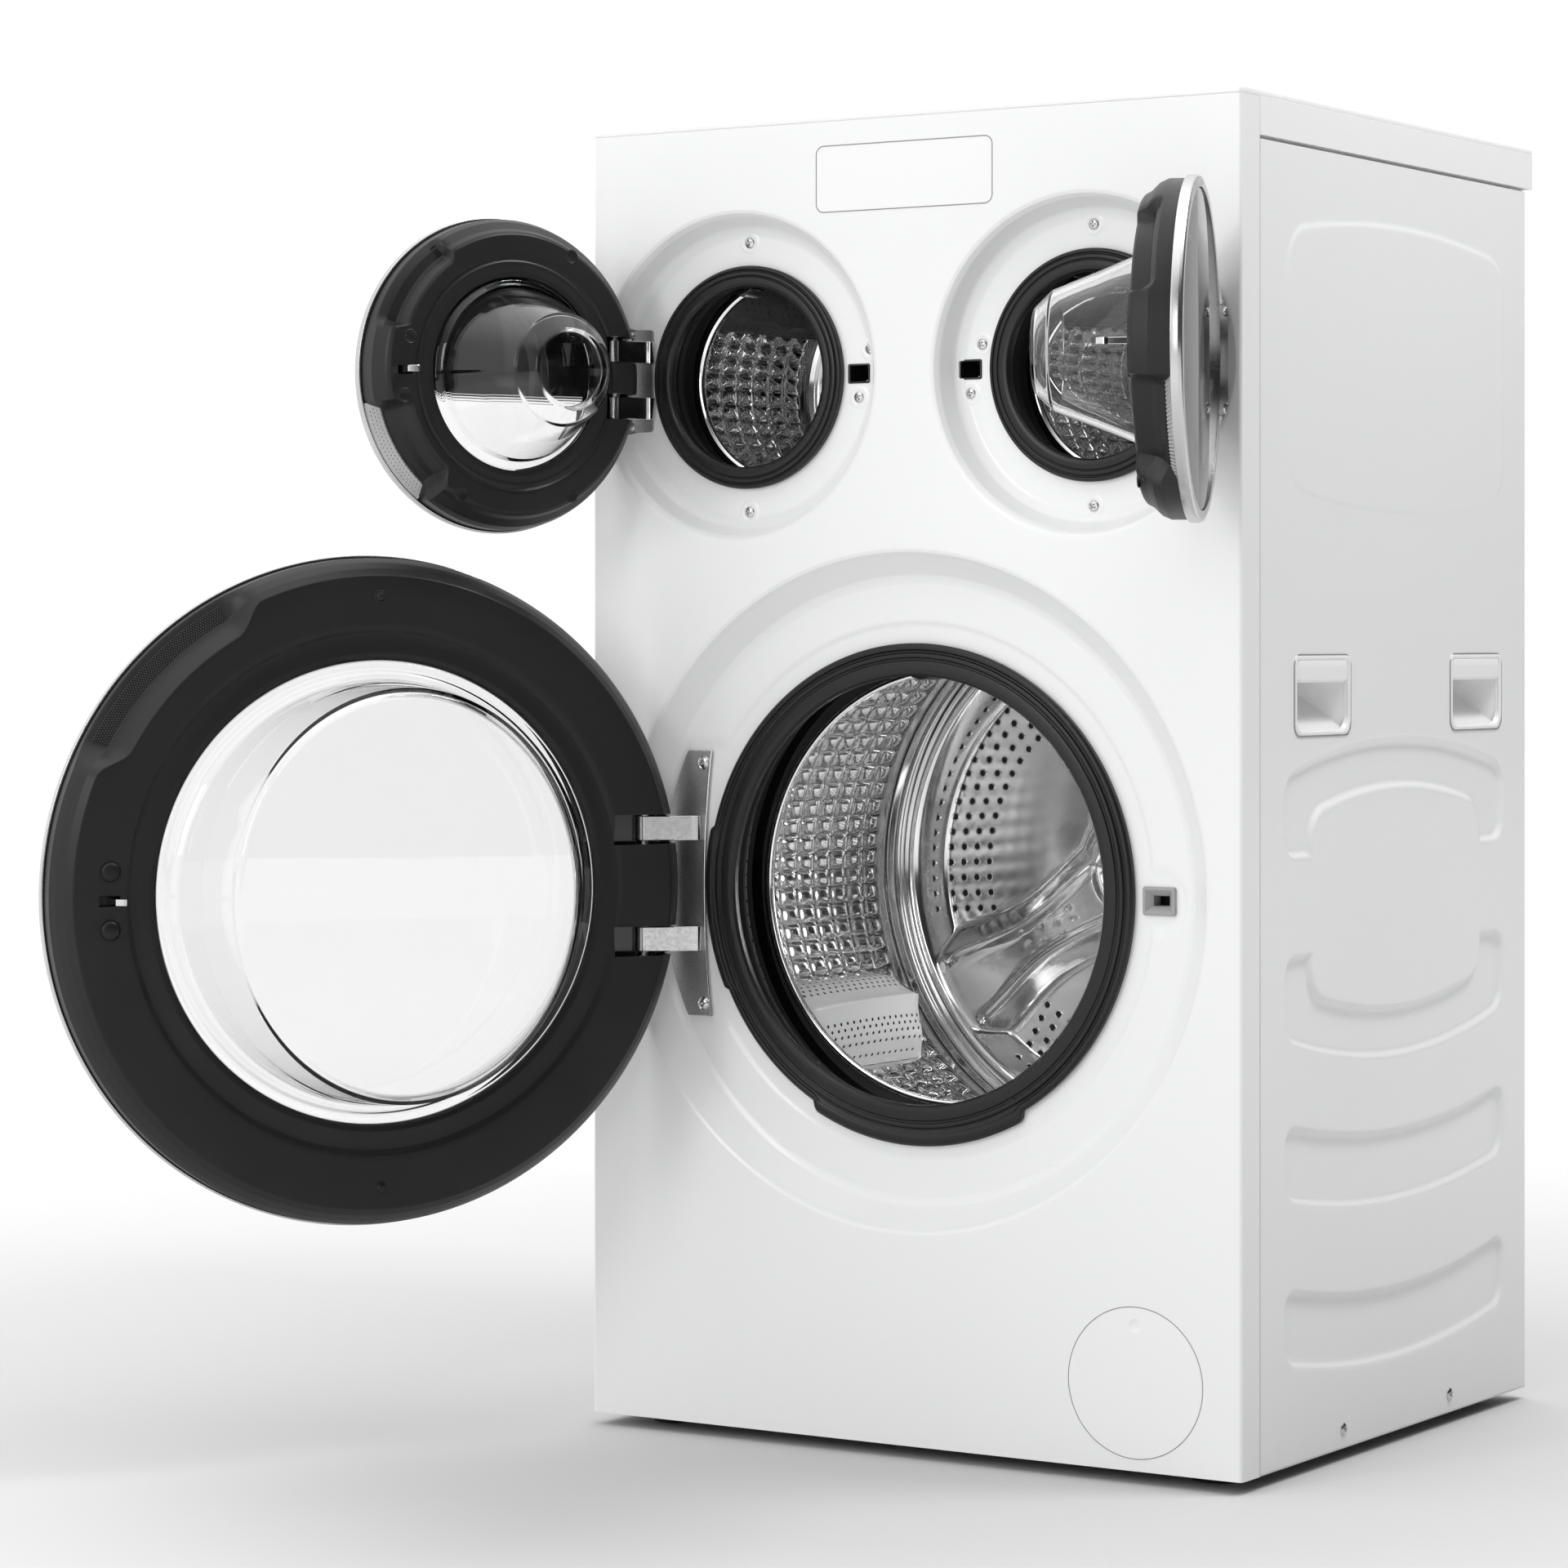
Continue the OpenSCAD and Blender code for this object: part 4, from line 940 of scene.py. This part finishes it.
def lifter(at, base_r, angle, half_base, half_top, height, d0, d1, end):
    """Drum paddle over its footprint, rounded over end mm; returns its mesh and surface function."""
    a = math.radians(angle)

    def surface(u, v):
        d = mix(d0, d1, u)
        from_end = min(d - d0, d1 - d)
        tall = height * math.sqrt(max(0.0, 1 - (1 - min(1.0, from_end / end)) ** 2.4))
        tall *= 0.86 + 0.14 * math.cos(math.pi * (u - 0.62))
        shape = (1 - abs(v) ** 2.5) ** 0.72
        bulge = 1 - 0.18 * math.sin(math.pi * min(1, abs(v) * 1.2)) * (0.6 + 0.4 * u)
        rise = tall * shape * bulge
        across = half_base * v * mix(1.0, half_top / half_base * 1.35, rise / height * 0.55)
        floor_r = math.sqrt(max(1.0, base_r ** 2 - across ** 2))
        r = floor_r - rise
        x = r * math.cos(a) - across * math.sin(a)
        z = r * math.sin(a) + across * math.cos(a)
        return Vector((at[0] + x, d, at[1] + z))

    us = [0, 0.004, 0.012, 0.025, 0.045, 0.07, 0.1, 0.14] + span(0.18, 0.82, 20) + [
        0.86, 0.9, 0.93, 0.955, 0.975, 0.988, 0.996, 1]
    vs = [math.sin(math.pi / 2 * t) for t in span(-1, 1, 44)]
    return sheet(us, vs, lambda u, v: tuple(surface(u, v))), surface


def lifters(at, name, base_r, first, half_base, half_top, height, d0, d1, end, mat, hole_r,
            grid):
    """Three drum paddles and their rows of small holes; grid is (rows on each flank, columns)."""
    rows, columns = grid
    body = f"{name}_drum"
    shapes, holes = [], []
    for k in range(3):
        shape, surface = lifter(at, base_r, first + 120 * k, half_base, half_top, height, d0, d1, end)
        shapes.append(shape)
        for i in range(columns):
            for j in range(rows):
                for s in (-1, 1):
                    u = mix(0.13, 0.93, (i + (0.5 if j % 2 else 0)) / columns)
                    v = s * mix(0.36, 0.93, j / max(1, rows - 1)) ** 0.8
                    p = surface(u, v)
                    across = surface(u, v + 0.01) - surface(u, v - 0.01)
                    along = surface(min(1, u + 0.01), v) - surface(max(0, u - 0.01), v)
                    facing = along.cross(across).normalized()
                    centre = Vector((at[0], p.y, at[1]))
                    if facing.dot(centre - p) < 0:
                        facing = -facing
                    # Each hole is a near-black disc on the paddle: painted shade in the hole.
                    holes.append(around(p, facing, [(hole_r, 0.14), (0, 0.14)], 10))
    piece(f"{name}_paddles", merged(*shapes), mat, body, (f"{body}_lifters",), sharp=70)
    piece(f"{name}_paddle_holes", merged(*holes), PAINTED_HOLE_SHADE, body, ())


lifters(LARGE, "large", base_r=238.6, first=LIFTER_ANGLE, half_base=42, half_top=17, height=46,
        d0=115, d1=318, end=30, mat=LIFTER, hole_r=1.5, grid=(5, 17))
for name, at in (("left", LEFT), ("right", RIGHT)):
    lifters(at, name, base_r=109.2, first=SMALL_LIFTER_ANGLE, half_base=23, half_top=10, height=24,
            d0=100, d1=270, end=18, mat=DARK_LIFTER, hole_r=0.9,
            grid=(3, 13))


# ---- doors: built shut, then swung open ----

def opened(pivot, angle, mirrored=False):
    """The swing of a door about its upright pin, and then the mirror image of it if mirrored."""
    about = Vector((pivot[0] * MM, FRONT + pivot[1] * MM, 0))
    swing = (Matrix.Translation(about) @ Matrix.Rotation(math.radians(angle), 4, "Z")
             @ Matrix.Translation(-about))
    return Matrix.Scale(-1, 4, (1, 0, 0)) @ swing if mirrored else swing


def open_angle(joint):
    return -abs(LIMITS[joint]["range_deg"][0])


DOORS = (
    ("large", LARGE, opened(LARGE_PIVOT, open_angle("large_door_hinge"))),
    ("left", LEFT, opened(SMALL_PIVOT, open_angle("left_door_hinge"))),
    ("right", LEFT, opened(SMALL_PIVOT, open_angle("right_door_hinge"), True)),
)


def window(degrees, start, stop, ramp):
    """1 between two angles, easing to 0 over ramp degrees outside them."""
    middle, half = (start + stop) / 2, (stop - start) / 2
    off = abs((degrees - middle + 180) % 360 - 180)
    return ease((half + ramp - off) / ramp)


def notch(a, middle, half):
    """1 within half a notch of the middle angle, in degrees, with steep sides."""
    off = abs((math.degrees(a) - middle + 180) % 360 - 180)
    return ease((half + 0.1 - off) / 0.2)


def notch_angles(middle, half):
    """Extra angles for turned() at a notch's sides."""
    return [middle + s * (half + e) for s in (-1, 1) for e in (-0.1, -0.03, 0.03, 0.1)] + [middle]


def large_door_frame(place):
    middle, half = -0.53, 1.0

    def profile(a):
        degrees = math.degrees(a)
        grip = window(degrees, 29, 60, 7)
        edge = 248.5 - 17 * grip
        dip = 9 * notch(a, middle, half)
        hole = min(228.0, edge - 3)
        rows = [(262.5, -19.7, 0), (262.5, mix(-3, -9, grip), 2),
                (mix(259, 256, grip), mix(3, -6.5, grip), 2),
                (mix(254, 244, grip), mix(10, -4.5, grip), 2),
                (edge + mix(2, 7, grip), mix(13.4, 5, grip), 2), (edge, 15.5, 2.5),
                (hole, 15.5, 0), (hole - 0.1, 15.5 - dip, 0), (211.4, 15.5 - dip, 0),
                (211.3, 15.5, 0), (206.5, 15.3, 3), (202.5, 13.4, 3), (197, 13.6, 3), (188, 14.4, 3),
                (184, 13.8, 1.5), (182, 12.4, 1), (182, 9.6, 0), (188, 9.6, 0), (188, 11.6, 0),
                (206, 11.6, 0), (206.2, 5.6, 0), (edge - 10, 5.4, 0), (edge - 5, 3, 0), (edge - 4, -9.5, 0),
                (254.5, -11, 0), (257, -12.5, 0), (257, -19.7, 0)]
        return soften(rows, 2, steps=3)

    cx, cz = LARGE
    slots = [block(cx - 280, cx - 199.4, -19.2, 30, cz + s * LARGE_ARM_Z - 12, cz + s * LARGE_ARM_Z + 12)
             for s in (-1, 1)]
    piece("large_frame", turned(LARGE, profile, 288, also=notch_angles(middle, half)), CHARCOAL,
          "large_door", ("large_door_frame",), place, sharp=40, cuts=slots)
    fill = ([polar(cx, cz, 255.5, a) for a in span(164.7, 195.3, 16)]
            + [(cx - 203.4, cz - 67.5), (cx - 203.4, cz + 67.5)])
    piece("large_hinge_block", prism(fill, -19.6, 5.8), GLOSS_BLACK, "large_door", (),
          place, cuts=slots)
    dots = []
    for i in range(66):
        for j in range(8):
            a = 28 + (i + (0.5 if j % 2 else 0)) * 0.52
            r = 244.5 + j * 1.75
            if a > 61.5 or r > 257:
                continue
            x, z = polar(cx, cz, r, a)
            low = mix(-4.7, -6.6, (r - 244) / 12)
            dots.append(around((x, low, z), (0, 1, 0), [(0.72, 0), (0.6, 0.45), (0, 0.6)], 8))
    piece("large_grip_dots", merged(*dots), GRIP_DARK, "large_door", (), place)
    buffers = [around((cx + 219, 15.3, cz - LARGE_LOCK_DROP + s * 22.5), (0, 1, 0),
                      [(8.8, 0), (8.6, 0.7), (7.8, 0.8), (7.6, 0.4), (7.2, 1.4), (6.0, 2.3), (3, 2.8),
                       (0, 2.9)], 40) for s in (-1, 1)]
    piece("large_door_buffers", merged(*buffers), BLACK, "large_door", (), place,
          sharp=50)
    caps = [around((cx, 15.2, cz + s * 232), (0, 1, 0),
                   [(5.4, 0), (5.0, 0.5), (3.8, 0.6), (3.4, 1.8), (2.4, 2.4), (0, 2.6)], 32)
            for s in (-1, 1)]
    piece("large_door_caps", merged(*caps), CHARCOAL, "large_door", (), place,
          sharp=50)


def small_door_frame(name, at, place):
    body = f"{name}_door"
    middle, half = 0.0, 1.8

    def profile(a):
        degrees = math.degrees(a)
        solid = window(degrees, -11, 16, 3)
        scoop = window(degrees, 20, 56, 3)
        cut = window(degrees, -50, -16, 5)
        edge = 112 + 4.5 * solid - 7 * scoop - 12 * cut
        outer = mix(124.5, 112.8, cut)
        dip = 9 * notch(a, middle, half)
        hole = min(110.5, edge - 2)
        rows = [(outer, -19.7, 0), (outer, -3 + 3 * solid - 2 * scoop - 6 * cut, 2),
                (outer - mix(mix(2.6, 6.5, scoop), 4.5, cut), 3 + 3 * solid - 3.2 * scoop - 8 * cut, 2),
                (mix(mix(edge + 4, edge + 3, solid), edge + 5, max(scoop, cut)),
                 9 + 3 * solid - 7.5 * scoop - 9 * cut, 2.5),
                (edge + 1.6, 13.6, 2), (edge - 1, 15.5, 2), (hole - 1, 15.5, 0),
                (hole - 1.1, 15.5 - dip, 0), (96.5, 15.5 - dip, 0), (96.4, 15.5, 0),
                (93.4, 15.2, 1.5), (91.4, 13.8, 1.5), (89.4, 14.8, 1.5), (86.6, 14.6, 1.5),
                (82, 14.9, 1.5), (77.6, 14.8, 1), (77.2, 14.2, 0.4), (77.6, 13.7, 0),
                (84, 13.6, 0), (84.4, 9.6, 0), (89, 9.6, 0), (90, 11.4, 0),
                (95.6, 11.4, 0), (95.8, 5.6, 0), (edge - 4, 5.4, 0), (edge - 4, -8, 0),
                (mix(118.5, 108, cut), -10 - 3 * cut, 0), (mix(121, 109, cut), -12 - 2 * cut, 0),
                (mix(121, 109, cut), -19.7, 0)]
        return soften(rows, 1.5, steps=3)

    cx, cz = at
    slots = [block(cx - 140, cx - 85.5, -19.2, 30, cz + s * SMALL_ARM_Z - 10.5,
                   cz + s * SMALL_ARM_Z + 10.5) for s in (-1, 1)]
    piece(f"{name}_frame", turned(at, profile, 216, also=notch_angles(middle, half)), CHARCOAL, body,
          (f"{name}_door_frame",), place, sharp=40, cuts=slots)
    fill = ([polar(cx, cz, 118, a) for a in span(159.5, 200.5, 12)]
            + [(cx - 89.5, cz - 41.5), (cx - 89.5, cz + 41.5)])
    piece(f"{name}_hinge_block", prism(fill, -19.6, 5.8), GLOSS_BLACK, body, (),
          place, cuts=slots)
    rows = soften([(111.5, -12.5, 0), (114, -11), (120, -14.5), (124.6, -17.5, 0)], 2, steps=4, loop=False)

    def ledge(a, p):
        x, z = polar(cx, cz, p[0], a)
        return x, p[1], z

    shelf = sheet(span(-54, -12, 60), rows, ledge)
    dots = []
    for i in range(24):
        for j in range(4):
            a = -51.5 + (i + (0.5 if j % 2 else 0)) * 1.6
            r = 114.6 + j * 2.3
            x, z = polar(cx, cz, r, a)
            if a < -14:
                dots.append(around((x, mix(-11.2, -14.6, (r - 114) / 6), z), (0.3, 1, 0),
                                   [(0.8, 0), (0.65, 0.45), (0, 0.65)], 8))
    piece(f"{name}_grip", merged(shelf, *dots), GRIP_GREY, body, (), place, sharp=60)
    plugs = []
    for a, r, low in ((56, 115.5, -1.5), (15, 101.5, 15.1), (-11, 105, 15.1), (-62, 109.5, 15.0),
                      (118, 108.5, 15.0), (-118, 108.5, 15.0)):
        x, z = polar(cx, cz, r, a)
        plugs.append(around((x, low, z), (0, 1, 0),
                            [(6.0, -0.5), (5.9, 0.5), (5.3, 0.9), (4.6, 0.5), (0, 0.6)], 32))
    piece(f"{name}_door_plugs", merged(*plugs), BLACK, body, (), place, sharp=50)


def door_rounds(name, at, r, place, bowl, glass_mat):
    """The door's rim of radius r, its outer glass and its bowl."""
    body = f"{name}_door"
    rim = soften([(r - 9, -25, 0), (r - 3.4, -25.0), (r - 1.0, -24.2), (r - 0.1, -22), (r - 0.1, -16.4),
                  (r - 1.4, -16.1), (r - 2.2, -16.4), (r - 2.2, -20.2), (r - 9, -20.2)], 0.7, steps=3)
    piece(f"{name}_rim", turned(at, rim, 256), SILVER, body, (f"{body}_rim",), place,
          sharp=40)
    disc = soften([(0, -24, 0), (r - 9.9, -24), (r - 9.3, -23.4), (r - 9.3, -20.4), (r - 9.8, -20),
                   (0, -20, 0)], 0.4, steps=2, loop=False)
    piece(f"{name}_glass", turned(at, disc, 192, loop=False), glass_mat, body, (f"{body}_glass",),
          place, plane=True)
    piece(f"{name}_bowl", turned(at, bowl, 192), GLASS, body, (f"{body}_bowl",), place,
          sharp=50)


def door_hook(name, at, x, z, place):
    cx, cz = at[0] + x, at[1] + z
    outline = soften([(cx - 2.4, 7), (cx + 2.4, 7), (cx + 2.4, 30), (cx + 5, 32), (cx + 5, 34), (cx, 39),
                      (cx - 2.4, 39)], 0.6, steps=3)
    piece(f"{name}_hook", prism(outline, cz - 2.5, cz + 2.5, upright=True), CHROME, f"{name}_hook",
          (f"{name}_door_hook",), place, bevel=0.4)


def large_bowl(a):
    """The large bowl's end is a little narrower across than it is tall."""
    tip = 1 / math.hypot(math.cos(a) / 144, math.sin(a) / 161)
    waist = mix(tip, 167.4, 0.62)
    return soften([(0, 84, 0), (tip - 7, 83.2), (tip - 4.2, 80), (waist - 4.2, 43), (163, 17), (175, 5.5),
                   (188, 6, 0.5), (188, 9, 0.5), (182, 9.2, 1), (181.2, 13), (172.5, 13.6), (167.4, 19),
                   (waist, 44), (tip, 81.5, 4), (tip - 5, 87.2), (0, 88, 0)], 5, steps=5)


SMALL_BOWL = soften([(0, 94.4, 0), (29, 93.6), (41, 82), (53, 51), (66, 20), (68, 12.6), (79, 5.4),
                     (90, 6, 0.5), (90, 9, 0.5), (84.2, 9.2, 1), (83.2, 13), (74.6, 13.4),
                     (70.4, 18.6), (57.5, 51), (44.8, 84), (32, 97.6), (0, 98.4, 0)], 4, steps=5)

for name, at, place in DOORS:
    if name == "large":
        large_door_frame(place)
        door_rounds(name, at, 265, place, large_bowl, LARGE_GLASS)
        door_hook(name, at, 215.4, -LARGE_LOCK_DROP, place)
    else:
        small_door_frame(name, at, place)
        door_rounds(name, at, 127, place, SMALL_BOWL, SMALL_GLASS)
        door_hook(name, at, 105.4, 0, place)


# ---- hinges ----

def hinge_arm(pivot, eye, half, foot, z0, z1, stop_d):
    """Arm from z0 to z1: an eye round the pivot, a bar of this half width to foot, and a heel
    that ends at depth stop_d. foot is measured from the pivot."""
    px, pd = pivot
    lean = math.atan2(foot[1], foot[0])
    ux, uy = math.cos(lean), math.sin(lean)
    nx, ny = -uy, ux
    start = math.degrees(math.atan2(ny, nx))
    outline = arc(px, pd, eye, start, start + 180, 20)
    fx, fd = px + foot[0], pd + foot[1]
    outline += [(fx - nx * half - ux * 2, fd - ny * half - uy * 2), (fx + half + 2, fd - 2),
                (fx + half + 3, stop_d), (fx - half - 1, stop_d), (fx - half - 1, fd + 1),
                (fx + nx * half - ux * 4, fd + ny * half - uy * 4)]
    return prism(soften(outline, 0.8, steps=2), z0, z1, upright=True)


def large_bracket():
    """Plate between an arc of the dish and a flatter one by the seal, with arms and screw seats."""
    cx, cz = LARGE
    top, eye_x, eye_r, rim_r = 108, 660, 861, 242
    half = math.degrees(math.asin(top / eye_r))
    inner = [polar(cx + eye_x, cz, eye_r, a) for a in span(180 - half, 180 + half, 40)]
    low_a = 180 + math.degrees(math.asin(top / rim_r))
    outer = [polar(cx, cz, rim_r, a) for a in span(low_a, 360 - low_a, 30)]
    piece("large_bracket_plate", prism(inner + outer, DISH - 3, DISH), CAST, "cabinet",
          ("hinge_brackets",), bevel=0.6)
    edge = [(x + 0.2, DISH - 2.9, z) for x, z in inner]
    piece("large_bracket_edge", tube(edge, 1.1, 8, closed=False), CHROME, "cabinet", (),
          sharp=60)
    seats = [around((BRACKET_SCREW_X, DISH - 2.9, cz + s * 98), (0, -1, 0),
                    [(5.6, -0.2), (5.5, 0.4), (5.2, 0.6), (4.9, 0.3), (4.4, 0.2)], 36)
             for s in (-1, 1)]
    piece("large_bracket_seats", merged(*seats), CHROME, "cabinet", (), sharp=50)
    arms = [hinge_arm(LARGE_PIVOT, eye=5.7, half=3.6, foot=(29, 28), z0=cz + s * LARGE_ARM_Z - 10,
                      z1=cz + s * LARGE_ARM_Z + 10, stop_d=DISH - 2.6) for s in (-1, 1)]
    piece("large_bracket_arms", merged(*arms), ARM, "cabinet", (), bevel=0.7)


def small_bracket(name, flip):
    """Plate and two arms of a small door's hinge: the left one's, or flipped to be the right one's."""
    cx, cz = LEFT
    plate = prism(rounded_box(31, 84, 3, 4, cx - 109.2, cz), DISH - 1.5, DISH)
    piece(f"{name}_bracket_plate", plate, CAST, "cabinet", (), flip, bevel=0.4)
    arms = [hinge_arm(SMALL_PIVOT, eye=5, half=3, foot=(12, 28), z0=cz + s * SMALL_ARM_Z - 9,
                      z1=cz + s * SMALL_ARM_Z + 9, stop_d=DISH - 1.2) for s in (-1, 1)]
    piece(f"{name}_bracket_arms", merged(*arms), CHROME, "cabinet", (), flip, bevel=0.6)


large_bracket()
small_bracket("left", None)
small_bracket("right", Matrix.Scale(-1, 4, (1, 0, 0)))


# ---- panel details ----

for name, outline, d in (
        ("control_seam", rounded_box(161.6, 52.6, 6.8, 8, 0, 1010.3), 0.1),
        ("cover_seam", [polar(*COVER, 58.0, a) for a in span(0, 360, 120)[:-1]], 0.25)):
    piece(name, tube([(x, d, z) for x, z in outline], 0.5, 6), SEAM, "cabinet", ())
for side, word in ((1, "right"), (-1, "left")):
    corner = tube([(side * (SIDE_X + 0.3), 30.4, z) for z in (10, 500, 1027)], 0.45, 6, closed=False)
    rings = [tube([(side * (SIDE_X + 0.2), d, z) for d, z in
                   rounded_box(w + 1.2, GRIP_HIGH - GRIP_LOW + 1.2, 9, 5, g + w / 2,
                               (GRIP_LOW + GRIP_HIGH) / 2)], 0.6, 6) for g, w in GRIPS]
    piece(f"{word}_side_seams", merged(corner, *rings), SEAM, "cabinet", ())


# ---- floor, lights, camera ----

def stage_floor():
    """Floor whose tone rises with the distance from the cabinet; the darker floor near the cabinet is painted
    shade.
    """
    mesh = bpy.data.meshes.new("floor")
    size = 14
    mesh.from_pydata([(-size, -size, 0), (size, -size, 0), (size, size, 0), (-size, size, 0)], [],
                     [(0, 1, 2, 3)])
    obj = bpy.data.objects.new("floor", mesh)
    bpy.context.scene.collection.objects.link(obj)
    mat = look("floor", grey(0.56), grey(0.54), (0.7, 0.8), patch=1.5, grain=60, depth=0.0001,
               Specular_IOR_Level=0.2)
    nodes, link = mat.node_tree.nodes, mat.node_tree.links.new
    base = nodes["Principled BSDF"].inputs["Base Color"]
    reach, fade, sweep = (nodes.new("ShaderNode" + kind) for kind in ("VectorMath", "MapRange", "Mix"))
    reach.operation = "LENGTH"
    link(nodes["Texture Coordinate"].outputs["Object"], reach.inputs[0])
    fade.inputs["From Min"].default_value = 0.6
    fade.inputs["From Max"].default_value = 2.6
    link(reach.outputs["Value"], fade.inputs["Value"])
    # Darker near the cabinet, paler from 0.6 m to 2.6 m out: painted shade round the cabinet.
    sweep.data_type = "RGBA"
    sweep.inputs["B"].default_value = (*grey(0.85), 1)
    link(fade.outputs["Result"], sweep.inputs["Factor"])
    link(base.links[0].from_socket, sweep.inputs["A"])
    link(sweep.outputs["Result"], base)
    mesh.materials.append(mat)


def area(name, place, aim, size, power):
    """Rectangular lamp of size metres at place, pointed at aim."""
    light = bpy.data.lights.new(name, "AREA")
    light.shape = "RECTANGLE"
    light.size, light.size_y = size
    light.energy = power
    obj = bpy.data.objects.new(name, light)
    obj.location = place
    obj.rotation_euler = (Vector(aim) - Vector(place)).to_track_quat("-Z", "Y").to_euler()
    bpy.context.scene.collection.objects.link(obj)


stage_floor()
scene = bpy.context.scene
world = bpy.data.worlds.new("studio")
world.use_nodes = True
backdrop = world.node_tree.nodes["Background"]
backdrop.inputs["Color"].default_value = (1, 1, 1, 1)
link = world.node_tree.links.new
axes = world.node_tree.nodes.new("ShaderNodeSeparateXYZ")
link(world.node_tree.nodes.new("ShaderNodeTexCoord").outputs["Generated"], axes.inputs[0])
levels = []
for axis, start, stop, low, high in (("X", -0.3, 0.45, 1.15, 0.03), ("Z", 0.5, 0.95, 0.0, 1.0)):
    ramp = world.node_tree.nodes.new("ShaderNodeMapRange")
    ramp.interpolation_type = "SMOOTHSTEP"
    for socket, value in zip(("From Min", "From Max", "To Min", "To Max"), (start, stop, low, high)):
        ramp.inputs[socket].default_value = value
    link(axes.outputs[axis], ramp.inputs["Value"])
    levels.append(ramp.outputs["Result"])
overhead = world.node_tree.nodes.new("ShaderNodeMix")
overhead.inputs["B"].default_value = 1.9
link(levels[0], overhead.inputs["A"])
link(levels[1], overhead.inputs["Factor"])
link(overhead.outputs["Result"], backdrop.inputs["Strength"])
scene.world = world
area("side", (0.95, 0.1, 2.3), (0.3, 0, 0.8), (0.4, 0.4), 17)
area("key", (-0.8, -3.8, 1.9), (-0.1, 0, 0.5), (0.5, 1.6), 24)
area("front", (1.15, -3.7, 1.5), (0, 0, 0.5), (0.5, 1.6), 9)
# The last three lamps stand behind the seals and light the drums.
area("drum", (0.15, 0.1, 0.5), (-0.15, 0.26, 0.3), (0.05, 0.12), 0.75)
for name, (x, z) in (("left_drum", LEFT), ("right_drum", RIGHT)):
    area(name, ((x + 70) / 1000, 0.098, z / 1000), ((x - 80) / 1000, 0.2, z / 1000), (0.03, 0.08), 0.5)
scene.view_settings.view_transform = "Standard"

camera = bpy.data.cameras.new("camera")
camera.sensor_width = 36
camera.lens = 105.37
camera.shift_y = -0.0932
camera_obj = bpy.data.objects.new("camera", camera)
camera_obj.location = (1.8687, -3.36375, 0.6456)
camera_obj.rotation_euler = (math.radians(90), 0, math.radians(32.64))
scene.collection.objects.link(camera_obj)
scene.camera = camera_obj
